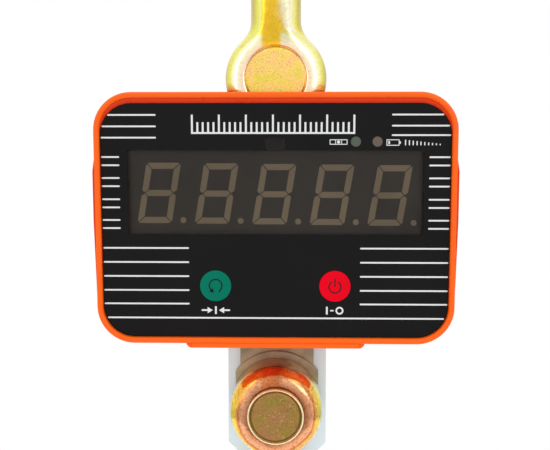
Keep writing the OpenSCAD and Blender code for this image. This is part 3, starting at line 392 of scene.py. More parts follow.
def bezel_coat_painted_shade(c):
    """The case coat with painted shade: darker and redder on the upper and side walls that face inwards round the
    front panel.
    """
    m = moulded("bezel_coat_painted_shade", c.coat, *CASE_COAT)
    (nx, _, nz), (x, _, z) = m.split(m.facing), m.split(m.place)
    rise = m.math("SUBTRACT", z, middle("front_panel").z)
    sides = m.math("MULTIPLY", nx, m.math("MULTIPLY", x, -11.0))
    ends = m.math("MULTIPLY", nz, m.math("MULTIPLY", rise, -17.0))
    inward = m.math("MULTIPLY_ADD", m.math("ADD", sides, ends), 5.0, 0.9, clamp=True)
    above = m.math("MULTIPLY_ADD", rise, 30.0, 1.9, clamp=True)
    height = m.add("ShaderNodeVectorMath", operation="DOT_PRODUCT")
    height.inputs[1].default_value = FACE_W
    m.link(m.place, height.inputs[0])
    sunk = m.math("LESS_THAN", height.outputs["Value"], spread("front_shell", FACE_W)[1] - 1.25 * MM)
    # Painted shade: the coat is tinted darker and redder where the recess walls face inwards, above the bottom of
    # the panel.
    painted_shade = m.math("MULTIPLY", m.math("MULTIPLY", inward, above), sunk)
    coat = m.shader.inputs["Base Color"].links[0].from_socket
    m.feed("Base Color", m.tint("MULTIPLY", painted_shade, coat, (0.74, 0.3, 0.12)))


def smoked_window(c):
    """Smoked plastic: mostly clear to what lies behind it, glossy in front."""
    m = Mix("smoked_window")
    haze = m.ramp(m.noise(30, 3), [(0.3, 0.29), (0.7, 0.33)])
    m.feed("Alpha", haze)
    m.feed("Base Color", m.ramp(m.noise(200, 2), [(0.3, shade(c.window, 0.8)), (0.7, c.window)]))
    m.set(Roughness=0.2, Metallic=0.0, Specular_IOR_Level=0.15)


def mix_finishes(c):
    green, gold, cream, tan, rose = c.zinc_green, c.zinc_gold, c.zinc_cream, c.zinc_tan, c.zinc_rose
    sizes = bpy.context.scene.crane_sizes
    # Painted reflections: the first list gives the bar's tones by facing (dark edges, green and gold bands, a
    # cream highlight band), the second the rings round the pin (pale highlight ring, tinted reflection).
    yellow_zinc_painted_reflections(
        c, "yellow_zinc_painted_reflections", UPPER_PIN_Z, sizes.upper_eye / 2, 0.15, 0.05,
        [(0.02, tan), (0.12, green), (0.20, (0.92, 0.90, 0.30)), (0.27, gold), (0.53, shade(gold, 1.1)),
         (0.58, cream), (0.80, cream), (0.88, green), (0.97, tan)],
        [(0.60, (0.98, 0.72, 0.50)), (0.76, cream), (0.85, (0.97, 0.94, 0.50)), (0.92, green), (0.99, tan)],
    )
    # Painted reflections on the fork: darker rose and a cream highlight band by facing, and dark, orange and rose
    # rings round the pin standing in for the case's reflection in the eye.
    yellow_zinc_painted_reflections(
        c, "rose_zinc_painted_reflections", LOWER_PIN_Z, sizes.lower_eye / 2, 0.10, 0.5,
        [(0.02, green), (0.2, gold), (0.36, rose), (0.55, shade(rose, 0.6)), (0.66, cream), (0.8, rose),
         (0.97, green)],
        [(0.58, shade(rose, 0.4)), (0.66, (0.62, 0.26, 0.12)), (0.78, (0.86, 0.42, 0.22)),
         (0.83, shade(rose, 0.75)), (0.90, (0.95, 0.62, 0.10)), (0.95, green), (0.99, tan)],
    )
    pin_zinc(c, "gold_pin", (0.99, 0.55, 0.26), (0.97, 0.68, 0.18), (0.74, 0.70, 0.05))
    # Pale tones for the thin ring on the lower pin's edge: a painted highlight.
    pin_zinc(c, "pale_zinc_painted_highlight", (0.95, 0.72, 0.50), (0.98, 0.86, 0.55), (0.98, 0.92, 0.66))
    pin_zinc(c, "olive_pin", (0.40, 0.18, 0.08), (0.37, 0.21, 0.06), (0.28, 0.23, 0.025))
    plated("satin_nickel", c.nickel, 0.95, 30, (0.5, 0.6), metal=0.6, grain=(0.25, 1, 1))
    plated("brown_zinc", c.bronze, 0.5, 110, (0.42, 0.6), metal=0.45, depth=0.0001)
    plated("bright_steel", c.steel, 0.88, 60, (0.25, 0.38))
    plated("black_steel", (0.09, 0.09, 0.095), 0.7, 80, (0.4, 0.55))
    moulded("orange_coat", c.coat, *CASE_COAT)
    moulded("black_film", c.film, (0.20, 0.27), 0.85, 0.000006, 300, 0.08)
    moulded("white_ink", c.ink, (0.45, 0.55), 0.93, 0.00001)
    moulded("seal_rubber", (0.03, 0.03, 0.03), (0.7, 0.85), 0.7, 0.00006)
    moulded("green_cap", c.green_key, (0.40, 0.5), 0.9, 0.00001, shine=0.06)
    moulded("red_cap", c.red_key, (0.40, 0.5), 0.9, 0.00001, shine=0.06)
    moulded("key_ink", c.key_ink, (0.45, 0.55), 0.8, 0.00001, shine=0.04)
    moulded("green_lamp", (0.068, 0.088, 0.063), (0.4, 0.5), 0.85, 0.00002)
    moulded("red_lamp", (0.116, 0.084, 0.066), (0.4, 0.5), 0.85, 0.00002)
    moulded("board_green", (0.03, 0.14, 0.06), (0.35, 0.5), 0.7, 0.00004)
    moulded("dark_plastic", (0.03, 0.03, 0.032), (0.4, 0.55), 0.8, 0.00005)
    moulded("digit_face", c.digit_face, (0.5, 0.6), 0.9, 0.00002)
    moulded("segment_tan", c.segments, (0.45, 0.55), 0.92, 0.00001)
    moulded("battery_case", (0.10, 0.11, 0.14), (0.4, 0.5), 0.8, 0.00004)
    smoked_window(c)
    bezel_coat_painted_shade(c)


SLOT_FINISH = {
    "zinc_yellow": "yellow_zinc_painted_reflections",
    "nickel": "satin_nickel",
    "bronze_plate": "brown_zinc",
    "steel": "bright_steel",
    "dark_steel": "black_steel",
    "orange_coat": "orange_coat",
    "rubber": "seal_rubber",
    "black_panel": "black_film",
    "smoked_window": "smoked_window",
    "key_green": "green_cap",
    "key_red": "red_cap",
    "lamp_green": "green_lamp",
    "lamp_red": "red_lamp",
    "board_green": "board_green",
    "dark_plastic": "dark_plastic",
    "digit_body": "digit_face",
    "battery_case": "battery_case",
}
NODE_FINISH = {"front_shell": "bezel_coat_painted_shade", "upper_pin": "gold_pin", "lower_pin": "olive_pin"}


# ---------------------------------------------------------------- making pieces

def piece(name, vertices, faces, body, finish, sharp=30.0):
    """A mesh piece in the frame, riding on a body, with its finish."""
    mesh = bpy.data.meshes.new(name)
    mesh.from_pydata([tuple(v) for v in vertices], [], faces)
    return dress(mesh, name, body, finish, sharp)


def hang(name, data):
    """A new object in the scene."""
    obj = bpy.data.objects.new(name, data)
    bpy.context.scene.collection.objects.link(obj)
    return obj


def dress(mesh, name, body, finish, sharp=30.0):
    """A piece from a mesh, riding on a body, with its finish and shading."""
    mesh.validate()
    mesh.shade_smooth()
    mesh.set_sharp_from_angle(angle=math.radians(sharp))
    mesh.materials.clear()
    mesh.materials.append(FINISHES[finish])
    obj = hang(name, mesh)
    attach(obj, body)
    return obj


def stand_in(obj, node, finish="yellow_zinc_painted_reflections", sharp=34.0):
    """Turns a loose object into the piece that stands for a CAD node."""
    name, mesh = obj.name, obj.data
    bpy.data.objects.remove(obj)
    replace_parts(dress(mesh, name, frame_body(node), finish, sharp), node)


def frame_body(node):
    """Name of the body that a CAD node is in."""
    return frame["nodes"][node]["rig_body"]


def in_mm(points, radius=0.0, along=0.0):
    """A profile from (radius, along) points in millimetres, past a radius and a place."""
    return [(radius + r * MM, along + a * MM) for r, a in points]


def tube_faces(rings, sides):
    """Faces between rings of vertices, with a cap at each end."""
    quads = [
        (i * sides + j, i * sides + (j + 1) % sides, (i + 1) * sides + (j + 1) % sides, (i + 1) * sides + j)
        for i in range(rings - 1)
        for j in range(sides)
    ]
    return quads + [tuple(range(sides - 1, -1, -1)), tuple((rings - 1) * sides + j for j in range(sides))]


def swept(centres, radii, across, sides=40):
    """Vertices and faces of a skin round a plane line; radii are (in the plane, across it)."""
    centres, radii, across = (np.array(a, float) for a in (centres, radii, across))
    way = np.gradient(centres, axis=0)
    way -= np.outer(way @ across, across)
    way /= np.linalg.norm(way, axis=1)[:, None]
    normal = np.cross(way, across)
    turn = np.linspace(0, 2 * math.pi, sides, endpoint=False)
    rings = (
        centres[:, None]
        + normal[:, None] * (radii[:, :1] * np.cos(turn))[..., None]
        + across * (radii[:, 1:] * np.sin(turn))[..., None]
    )
    return rings.reshape(-1, 3), tube_faces(len(centres), sides)


def turned(profile, origin, axis, sides=64):
    """Vertices and faces of a turned solid from (radius, along) points."""
    axis = Vector(axis).normalized()
    side = axis.orthogonal().normalized()
    other = axis.cross(side)
    vertices = []
    for radius, along in profile:
        for j in range(sides):
            a = 2 * math.pi * j / sides
            vertices.append(Vector(origin) + axis * along + (side * math.cos(a) + other * math.sin(a)) * radius)
    return vertices, tube_faces(len(profile), sides)


def hoop(profile, origin, axis, sides=64):
    """Vertices and faces of a turned ring from a closed (radius, along) outline."""
    vertices, faces = turned(profile, origin, axis, sides)
    last = (len(profile) - 1) * sides
    closing = [(last + j, last + (j + 1) % sides, (j + 1) % sides, j) for j in range(sides)]
    return vertices, faces[:-2] + closing


def mesh_of(name, bm):
    """A mesh from a bmesh, with its faces turned outwards."""
    bmesh.ops.recalc_face_normals(bm, faces=bm.faces)
    mesh = bpy.data.meshes.new(name)
    bm.to_mesh(mesh)
    bm.free()
    return mesh


def joined(name, *shells):
    """One loose object from several (vertices, faces) shells."""
    bm = bmesh.new()
    for vertices, faces in shells:
        made = [bm.verts.new(v) for v in vertices]
        for f in faces:
            bm.faces.new([made[i] for i in f])
    return hang(name, mesh_of(name, bm))


def settle(obj):
    """Applies an object's modifiers and returns the new mesh."""
    graph = bpy.context.evaluated_depsgraph_get()
    mesh = bpy.data.meshes.new_from_object(obj.evaluated_get(graph))
    obj.modifiers.clear()
    obj.data = mesh
    return mesh


def remesh(obj, grid):
    """Adds an even voxel skin."""
    change = obj.modifiers.new("skin", "REMESH")
    change.mode = "VOXEL"
    change.voxel_size = grid


DRAWS, EASED_DRAWS = 8, 5


def forged_skin(obj, field, grid):
    """Remeshes rough shells evenly and draws the skin onto the field's zero level."""
    remesh(obj, grid)
    mesh = settle(obj)
    points = np.zeros(len(mesh.vertices) * 3)
    mesh.vertices.foreach_get("co", points)
    points = points.reshape(-1, 3)
    edges = np.zeros(len(mesh.edges) * 2, int)
    mesh.edges.foreach_get("vertices", edges)
    edges = edges.reshape(-1, 2)
    count = np.bincount(edges.ravel(), minlength=len(points))[:, None]
    step = grid * 0.05
    for turn in range(DRAWS):
        level = field(points)
        slope = np.stack(
            [(field(points + step * d) - field(points - step * d)) / (2 * step) for d in np.eye(3)], axis=1
        )
        points = points - level[:, None] * slope / np.maximum((slope**2).sum(1), 0.2)[:, None]
        if turn < EASED_DRAWS:
            around = np.zeros_like(points)
            np.add.at(around, edges[:, 0], points[edges[:, 1]])
            np.add.at(around, edges[:, 1], points[edges[:, 0]])
            points = points * 0.5 + around / count * 0.5
    mesh.vertices.foreach_set("co", points.ravel())
    mesh.update()


def cut_away(obj, *cutters):
    """Cuts shells out of an object, exactly."""
    tools = []
    for i, shell in enumerate(cutters):
        tool = joined(f"cutter_{i}", shell)
        change = obj.modifiers.new("cut", "BOOLEAN")
        change.operation = "DIFFERENCE"
        change.solver = "EXACT"
        change.object = tool
        tools.append(tool)
    settle(obj)
    for tool in tools:
        bpy.data.objects.remove(tool)


def block(low, high):
    """A box as a shell."""
    x, y, z = zip(low, high)
    vertices = [(x[i], y[j], z[k]) for i in (0, 1) for j in (0, 1) for k in (0, 1)]
    return vertices, [(0, 1, 3, 2), (4, 6, 7, 5), (0, 4, 5, 1), (2, 3, 7, 6), (0, 2, 6, 4), (1, 5, 7, 3)]


def rod_y(radius, y0, y1, x, z, sides=96):
    """A round bar along Y as a shell."""
    return turned([(radius, y0), (radius, y1)], (x, 0, z), (0, 1, 0), sides)


def rod_z(radius, z0, z1, x=0.0, y=0.0, sides=96):
    """A round bar along Z as a shell."""
    return turned([(radius, z0), (radius, z1)], (x, y, 0), (0, 0, 1), sides)


# ---------------------------------------------------------------- forged parts

def blend_of(a, b, k):
    """Two fields melted together with a fillet of about k."""
    h = np.clip(0.5 + 0.5 * (b - a) / k, 0, 1)
    return b * (1 - h) + a * h - k * h * (1 - h)


def bar_field(p, a, b, radius):
    a, b = np.array(a, float), np.array(b, float)
    t = np.clip((p - a) @ (b - a) / ((b - a) @ (b - a)), 0, 1)
    return np.linalg.norm(p - a - t[:, None] * (b - a), axis=1) - radius


def bend_field(p, z, reach, radius, up):
    """A half ring in the plane x = 0 about (y 0, z), open downwards if up is 1."""
    rise = (p[:, 2] - z) * up
    ring = np.hypot(np.hypot(p[:, 1], rise) - reach, p[:, 0]) - radius
    ends = np.sqrt((np.abs(p[:, 1]) - reach) ** 2 + rise**2 + p[:, 0] ** 2) - radius
    return np.where(rise > -reach * 0.12, ring, ends)


def eye_field(p, z, y, half, radius, edge):
    """A turned eye with rounded edges about the point (0, y, z)."""
    out = np.hypot(p[:, 0], p[:, 2] - z) - (radius - edge)
    along = np.abs(p[:, 1] - y) - (half - edge)
    inside = np.minimum(np.maximum(out, along), 0)
    return inside + np.hypot(np.maximum(out, 0), np.maximum(along, 0)) - edge


PIN_SLACK = 0.08 * MM  # air between a pin and its bore
LOCK_HOLE = 2.7 * MM  # radius of the hole of a lock pin
EYE_GROW = 8 * MM  # what the jaw's cut takes off the inside of each eye
FACE_BLEND = 1 * MM  # edge where the front of an eye is faced off
REACH_Y, REACH_X = 0.07, 0.06  # reach of the cuts past the forgings


def countersink(radius, out, z):
    """The chamfer round the front of a bore as a shell."""
    profile = in_mm([(9.9, -9), (0.9, 0), (PIN_SLACK / MM, 0.5), (PIN_SLACK / MM, 1.5)], radius)
    return turned(profile, (0, out, z), (0, 1, 0), 96)


class Eyes:
    """The two eyes of a forging on their pin: their field, their rough shells and their cuts."""

    def __init__(self, pin, z, eye_d, pin_d):
        s = bpy.context.scene.crane_sizes
        self.z, self.radius, self.edge = z, eye_d / 2, s.eye_edge
        self.bore = pin_d / 2
        self.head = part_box(pin)[1].x * 2 / math.sqrt(3) + 0.2 * MM
        self.out = abs(EYE_OUT_Y)
        self.jaw = self.out - s.eye_thick
        self.y = self.out - s.eye_thick / 2
        self.half = (s.eye_thick + EYE_GROW) / 2

    def field(self, p, body, leg_of, blend, front):
        """Adds two legs, melted into their eyes and faced off at the front, to a body's field."""
        for k in (-1, 1):
            eye = eye_field(p, self.z, k * (self.y - EYE_GROW / 2), self.half, self.radius, self.edge)
            limb = blend_of(leg_of(k), eye, blend)
            limb = -blend_of(-limb, front - np.abs(p[:, 1]), FACE_BLEND)
            body = np.minimum(body, np.where(k * p[:, 1] > 0, limb, 1.0))
        return body

    def rough(self, name, line, bar, *more):
        """The first shells: a bar along a line from eye to eye, and the eyes."""
        line = [(0, self.y, self.z), *line, (0, -self.y, self.z)]
        rim, belly = self.radius - self.edge * 0.6, self.radius - self.edge * 0.1
        profile = [(rim, -self.half), (belly, 0), (rim, self.half)]
        eyes = [turned(profile, (0, k * (self.y - EYE_GROW / 2), self.z), (0, 1, 0)) for k in (-1, 1)]
        return joined(name, swept(line, [(bar, bar)] * len(line), (1, 0, 0)), *more, *eyes)

    def cut(self, obj, mouth, jaw, lock, *more):
        """Cuts the bore and its mouth, the room of the pin's head, the jaw and the lock pin's hole."""
        cut_away(
            obj,
            rod_y(self.bore + PIN_SLACK, -REACH_Y, REACH_Y, 0, self.z),
            mouth,
            rod_y(self.head, self.out, REACH_Y, 0, self.z),
            block((-REACH_X, -self.jaw, jaw[0]), (REACH_X, self.jaw, jaw[1])),
            *more,
            rod_z(LOCK_HOLE, *lock, 0, self.y, 32),
        )


class SCALE_OT_shackle(bpy.types.Operator):
    """Forges the upper shackle: a round bow whose legs flare into two eyes"""

    bl_idname = "crane_scale.shackle"
    bl_label = "Upper Shackle"

    def execute(self, context):
        s = context.scene.crane_sizes
        eyes = Eyes("upper_pin", UPPER_PIN_Z, s.upper_eye, s.upper_pin)
        bar = s.bow_bar / 2
        reach = BOW_HALF_Y - bar
        bow_z = BOW_TOP_Z - BOW_HALF_Y
        drop = bow_z - eyes.z
        turn = math.pi / 2 - math.atan(eyes.y / drop) - math.acos(reach / math.hypot(eyes.y, drop))
        heel_y, heel_z = reach * math.cos(turn), bow_z - reach * math.sin(turn)
        lean = (heel_y - eyes.y) / (heel_z - eyes.z)

        def field(p):
            bow = bend_field(p, bow_z, reach, bar, 1)

            def leg_of(k):
                return np.minimum(bar_field(p, (0, k * heel_y, heel_z), (0, k * eyes.y, eyes.z), bar), bow)

            rise = np.maximum(p[:, 2] - eyes.z - eyes.bore - 2 * MM, 0)
            front = eyes.out + 0.2 * MM + np.minimum(rise * 0.2, rise * lean + 2.6 * MM)
            return eyes.field(p, bow, leg_of, s.forge_blend, front)

        angles = np.linspace(-turn, math.pi + turn, 90)
        line = [(0, reach * math.cos(a), bow_z + reach * math.sin(a)) for a in angles]
        obj = eyes.rough("upper_shackle_forging", line, bar)
        forged_skin(obj, field, s.skin_voxel)
        jaw = (eyes.z - 0.04, eyes.z + eyes.radius + 2 * MM)
        eyes.cut(obj, countersink(eyes.bore, -eyes.out, eyes.z), jaw, (eyes.z - 0.04, eyes.z))
        stand_in(obj, "upper_shackle")
        return {"FINISHED"}


class SCALE_OT_fork(bpy.types.Operator):
    """Forges the lower fork: two eyes, a round bend and the crown that holds the swivel"""

    bl_idname = "crane_scale.fork"
    bl_label = "Lower Fork"

    def execute(self, context):
        s = context.scene.crane_sizes
        eyes = Eyes("lower_pin", LOWER_PIN_Z, s.lower_eye, s.lower_pin)
        bar = s.fork_bar / 2
        bend_z = FORK_LOW_Z + eyes.y + bar
        crown_low = FORK_TOP_Z - 30 * MM
        crown_mid, crown_half = (FORK_TOP_Z + crown_low) / 2, (FORK_TOP_Z - crown_low) / 2

        def field(p):
            bend = bend_field(p, bend_z, eyes.y, bar, -1)
            crown = eye_field(p[:, [0, 2, 1]] - [0, crown_mid, 0], 0, 0, crown_half, s.crown, 3 * MM)

            def leg_of(k):
                return bar_field(p, (0, k * eyes.y, bend_z), (0, k * eyes.y, eyes.z), bar)

            body = blend_of(bend, crown, 7 * MM)
            return eyes.field(p, body, leg_of, s.forge_blend * 0.9, eyes.out + 0.3 * MM)

        angles = np.linspace(0, -math.pi, 70)
        line = [(0, eyes.y * math.cos(a), bend_z + eyes.y * math.sin(a)) for a in angles]
        obj = eyes.rough("lower_fork_forging", line, bar, rod_z(s.crown, crown_low, FORK_TOP_Z))
        forged_skin(obj, field, s.skin_voxel)
        eyes.cut(
            obj,
            rod_y(eyes.bore + 0.25 * MM, -REACH_Y, 0.5 * MM - eyes.out, 0, eyes.z),
            (max(bend_z - 4 * MM, FORK_TOP_Z + 1 * MM), eyes.z + 0.04),
            (eyes.z, eyes.z + 0.04),
            rod_z(s.shank / 2 + PIN_SLACK, crown_low - 0.03, FORK_TOP_Z + 0.03),
            rod_z(19 * MM, FORK_TOP_Z, eyes.z),
            rod_z(24 * MM, crown_low - 0.01, crown_low),
        )
        stand_in(obj, "lower_fork", "rose_zinc_painted_reflections")
        # A pale bead round the lower pin: its pale finish is a painted highlight on the pin's chamfer edge.
        bead = in_mm([(-0.9, 0.2), (-0.75, -0.05), (-0.4, 0), (-0.05, 0.5), (0.02, 1.4), (-0.9, 1.4)], eyes.bore)
        vertices, faces = hoop(bead, (0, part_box("lower_pin")[0].y, eyes.z), (0, 1, 0), 128)
        piece("lower_pin_edge_painted_highlight", vertices, faces, frame_body("lower_pin"), "pale_zinc_painted_highlight")
        return {"FINISHED"}


class SCALE_OT_hook(bpy.types.Operator):
    """Forges the swivel hook: a tapering bowl, a collar, the lug of the latch and the shank"""

    bl_idname = "crane_scale.hook"
    bl_label = "Swivel Hook"

    def execute(self, context):
        s = context.scene.crane_sizes
        neck_z = FORK_TOP_Z - 30.4 * MM
        collar = 9 * MM
        reach = s.hook_bowl + s.hook_thick / 2
        bowl_z = neck_z + 0.4 * MM - 66 * MM
        neck = s.shank / 2 + 3 * MM
        first, last = math.radians(128), math.radians(372)

        def bowl(a):
            return np.array([s.bowl_side + reach * math.cos(a), bowl_z + reach * math.sin(a)])

        start = np.array([0, neck_z - collar + 1 * MM])
        lean = np.array([-math.sin(first), math.cos(first)])
        knots = [start, start + [0, -16 * MM], bowl(first) - 15 * MM * lean, bowl(first)]
        line, radii = [], []
        for t in np.linspace(0, 1, 24, endpoint=False):
            w = [(1 - t) ** 3, 3 * (1 - t) ** 2 * t, 3 * (1 - t) * t * t, t**3]
            line.append(sum(k * q for k, q in zip(w, knots)))
            radii.append((neck, neck))
        for t in np.linspace(0, 1, 110):
            line.append(bowl(first + (last - first) * t))
            if t < 0.55:
                thick = neck + (s.hook_thick / 2 - neck) * (1 - math.cos(math.pi * t / 0.55)) / 2
                wide = thick * (1 - 0.16 * t / 0.55)
            else:
                share = (1 - math.cos(math.pi * (t - 0.55) / 0.45)) / 2
                thick = s.hook_thick / 2 - (s.hook_thick - s.hook_tip) / 2 * share
                wide = thick * 0.84
            radii.append((thick, wide))
        way = np.array([-math.sin(last), math.cos(last)])
        tip_thick, tip_wide = radii[-1]
        for k in range(1, 10):
            a = math.radians(k * 10)
            line.append(bowl(last) + s.hook_tip / 2 * math.sin(a) * way)
            radii.append((tip_thick * math.cos(a) + 0.2 * MM, tip_wide * math.cos(a) + 0.2 * MM))
        body = swept([(x, 0, z) for x, z in line], radii, (0, 1, 0), 48)
        top = neck_z - 0.1 * MM
        ring = turned(
            in_mm([(0, -9), (0.8, -8.7), (1, -8), (1, -1), (0.4, -0.1), (0, 0)], neck, top), (0, 0, 0), (0, 0, 1)
        )
        pin_x, pin_z = LATCH_PIN.x, LATCH_PIN.z
        lug = turned(in_mm([(5, -4), (6, -3.2), (6, 3.2), (5, 4)]), (pin_x, 0, pin_z), (0, 1, 0), 48)
        web = block((0, -3.6 * MM, pin_z - 3.5 * MM), (pin_x, 3.6 * MM, pin_z + 5 * MM))
        obj = joined("swivel_hook_forging", body, ring, lug, web)
        remesh(obj, s.skin_voxel * 0.72)
        change = obj.modifiers.new("ease", "SMOOTH")
        change.factor = 0.5
        change.iterations = 6
        cut_away(obj, rod_y(2.52 * MM, -0.03, 0.03, pin_x, pin_z, 48))
        nut_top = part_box("hook_nut")[1].z + 2 * MM
        end = [(s.shank / 2, top - 3 * MM), (s.shank / 2, nut_top - 1 * MM), (s.shank / 2 - 1 * MM, nut_top)]
        shank = joined("hook_shank", turned(end, (0, 0, 0), (0, 0, 1)))
        bm = bmesh.new()
        bm.from_mesh(obj.data)
        bm.from_mesh(shank.data)
        bm.to_mesh(obj.data)
        bm.free()
        bpy.data.objects.remove(shank)
        stand_in(obj, "hook")
        return {"FINISHED"}


# ---------------------------------------------------------------- print and digits

def oblong(u0, u1, v0, v1):
    """Outline of a level rectangle on the face."""
    return [(u0, v0), (u1, v0), (u1, v1), (u0, v1)]


def prisms(name, outlines, w0, w1, body, finish):
    """Flat raised shapes on the sloping face, from outlines in U and V."""
    bm = bmesh.new()
    for outline in outlines:
        low, high = ([bm.verts.new(on_face(u, v, w)) for u, v in outline] for w in (w0, w1))
        bm.faces.new(high)
        bm.faces.new(low[::-1])
        for i in range(len(low)):
            k = (i + 1) % len(low)
            bm.faces.new((low[i], low[k], high[k], high[i]))
    return dress(mesh_of(name, bm), name, body, finish, 20)


def bar_outline(u0, u1, v, width):
    """A level stripe with slightly rounded ends."""
    h, e = width / 2, width * 0.25
    return [(u0, v - h + e), (u0 + e, v - h), (u1 - e, v - h), (u1, v - h + e),
            (u1, v + h - e), (u1 - e, v + h), (u0 + e, v + h), (u0, v + h - e)]


def level(u0, u1, v, width):
    return oblong(u0, u1, v - width / 2, v + width / 2)


def upright(u, v0, v1, width):
    return oblong(u - width / 2, u + width / 2, v0, v1)


def polar(u, v, radius, angle):
    return u + radius * math.cos(angle), v + radius * math.sin(angle)


def disc(u, v, radius, sides=32):
    return [polar(u, v, radius, 2 * math.pi * i / sides) for i in range(sides)]


def arc_band(u, v, radius, width, a0, a1, steps=40):
    """Quads of a curved stroke from angle a0 to a1, in degrees."""
    inner, outer = radius - width / 2, radius + width / 2
    made = []
    for i in range(steps):
        p, q = (math.radians(a0 + (a1 - a0) * (i + k) / steps) for k in (0, 1))
        made.append([polar(u, v, r, a) for r, a in ((inner, p), (outer, p), (outer, q), (inner, q))])
    return made


def frame_outline(u0, u1, v0, v1, width):
    """Four bars round a rectangle."""
    return [oblong(u0, u0 + width, v0, v1), oblong(u1 - width, u1, v0, v1),
            oblong(u0 + width, u1 - width, v0, v0 + width), oblong(u0 + width, u1 - width, v1 - width, v1)]


def panel_side(v):
    """Half width of the panel at height v, inside its rounded corners."""
    corner = 15.6 * MM
    over = abs(v) - (PANEL_H / 2 - corner)
    inset = corner - math.sqrt(max(corner**2 - over**2, 0)) if over > 0 else 0
    return PANEL_W / 2 - inset - 0.35 * MM


# Inner ends of the stripes on the left and right, and each row's heights on the left and right, in mm.
STRIPES = (
    (-59.4, 57.8, ((53.4, 53.5), (47.75, 48.05), (42.15, 43.4))),
    (-78.0, 76.6, tuple((v, v) for v in (32.5, 28.4, 22.0, 17.9, 11.3, 7.2, 0.8, -3.3))),
    (-43.6, 42.8, tuple((v, v) for v in (-13.4, -20.6, -27.8, -35.0, -42.0))),
)
FOOT_STRIPE = -49.3


class SCALE_OT_print(bpy.types.Operator):
    """Prints the white stripes, the ruler and the plain symbols on the film"""

    bl_idname = "crane_scale.print"
    bl_label = "Panel Print"

    def execute(self, context):
        s = context.scene.crane_sizes
        stripes = []
        for left_end, right_end, rows in STRIPES:
            for left, right in rows:
                stripes.append(bar_outline(-panel_side(left * MM), left_end * MM, left * MM, s.stripe))
                stripes.append(bar_outline(right_end * MM, panel_side(right * MM), right * MM, s.stripe))
        foot = FOOT_STRIPE * MM
        side = panel_side(foot) - 0.4 * MM
        stripes.append(bar_outline(-side, side, foot, s.stripe))

        ticks = []
        u0, u1, base, tick = -41.3 * MM, 39.2 * MM, 44.9 * MM, 0.95 * MM
        steps = 30
        for i in range(steps + 1):
            tall = 8.6 if i % 5 == 0 else 4.9
            ticks.append(upright(u0 + (u1 - u0) * i / steps, base, base + tall * MM, tick))
        ticks.append(oblong(u0 - tick / 2, u1 + tick / 2, base - 0.9 * MM, base))

        marks = []
        lamp_u, lamp_v = face_middle("steady_lamp")
        u0, u1 = lamp_u - 13.0 * MM, lamp_u - 4.2 * MM
        mid = (u0 + u1) / 2
        marks += frame_outline(u0, u1, lamp_v - 1.5 * MM, lamp_v + 1.1 * MM, 0.38 * MM)
        marks.append(disc(mid, lamp_v - 0.2 * MM, 0.78 * MM, 20))
        for k in (-1, 1):
            marks.append(upright(mid + k * 1.5 * MM, lamp_v - 1.1 * MM, lamp_v + 0.7 * MM, 0.32 * MM))
        lamp_u, lamp_v = face_middle("battery_lamp")
        u0 = lamp_u + 4.4 * MM
        low, high = lamp_v - 2.0 * MM, lamp_v + 1.1 * MM
        marks += frame_outline(u0, u0 + 6.4 * MM, low, high, 0.38 * MM)
        marks.append(upright(u0 + 6.75 * MM, low + 0.9 * MM, high - 0.9 * MM, 0.6 * MM))
        marks.append(upright(u0 + 1.3 * MM, low + 0.75 * MM, high - 0.75 * MM, 0.8 * MM))
        for i in range(10):
            u = u0 + (9.4 + i * 1.9) * MM
            marks.append(upright(u, low + 0.2 * MM, low + (2.9 - 0.22 * i) * MM, 0.55 * MM))
        for node in ("tare_key", "power_key"):
            ku, kv = face_middle(node)
            v0, v1 = kv - 14.6 * MM, kv - 10.6 * MM
            vm = (v0 + v1) / 2
            if node == "tare_key":
                marks.append(upright(ku, v0, v1, 0.9 * MM))
                for k in (-1, 1):
                    tip, back = ku + k * 1.6 * MM, ku + k * 4.2 * MM
                    marks.append([(tip, vm), (back, vm + 1.6 * MM), (back, vm - 1.6 * MM)][:: -k])
                    marks.append(level(back, ku + k * 7.2 * MM, vm, 0.84 * MM))
            else:
                marks.append(upright(ku - 4.0 * MM, v0, v1, 0.9 * MM))
                marks += arc_band(ku + 2.4 * MM, vm, 1.6 * MM, 0.8 * MM, 0, 360)
                marks.append(level(ku - 2.3 * MM, ku - 0.6 * MM, vm, 0.7 * MM))

        body = frame_body("front_panel")
        for name, shapes in (("panel_stripes", stripes), ("panel_ruler", ticks), ("panel_symbols", marks)):
            prisms(name, shapes, 0, s.print_high, body, "white_ink")
        return {"FINISHED"}


class SCALE_OT_key_print(bpy.types.Operator):
    """Prints the round arrow on the tare key and the power symbol on the power key"""

    bl_idname = "crane_scale.key_print"
    bl_label = "Key Print"

    def execute(self, context):
        s = context.scene.crane_sizes
        for node, name in (("tare_key", "tare_arrow"), ("power_key", "power_mark")):
            u, v = face_middle(node)
            top = face_box(node)[2][1]
            if node == "tare_key":
                v += 0.1 * MM
                radius, start, stop = 3.2 * MM, math.radians(-52), math.radians(222)
                shapes = arc_band(u, v, radius, 0.62 * MM, -52, 222)
                at = Vector(polar(u, v, radius, stop))
                side = Vector((math.cos(stop), math.sin(stop)))
                tip = at + Vector((-side.y, side.x)) * 2.1 * MM
                shapes.append([tuple(at + side * 1.35 * MM), tuple(tip), tuple(at - side * 1.35 * MM)])
                tail_u, tail_v = polar(u, v, radius, start)
                shapes.append(upright(tail_u, tail_v - 0.9 * MM, tail_v + 0.3 * MM, 0.6 * MM))
            else:
                shapes = arc_band(u, v - 0.4 * MM, 3.0 * MM, 0.62 * MM, 122, 418)
                shapes.append(upright(u, v - 0.2 * MM, v + 3.9 * MM, 0.62 * MM))
            prisms(name, shapes, top, top + s.print_high * 0.6, frame_body(node), "key_ink")
        return {"FINISHED"}


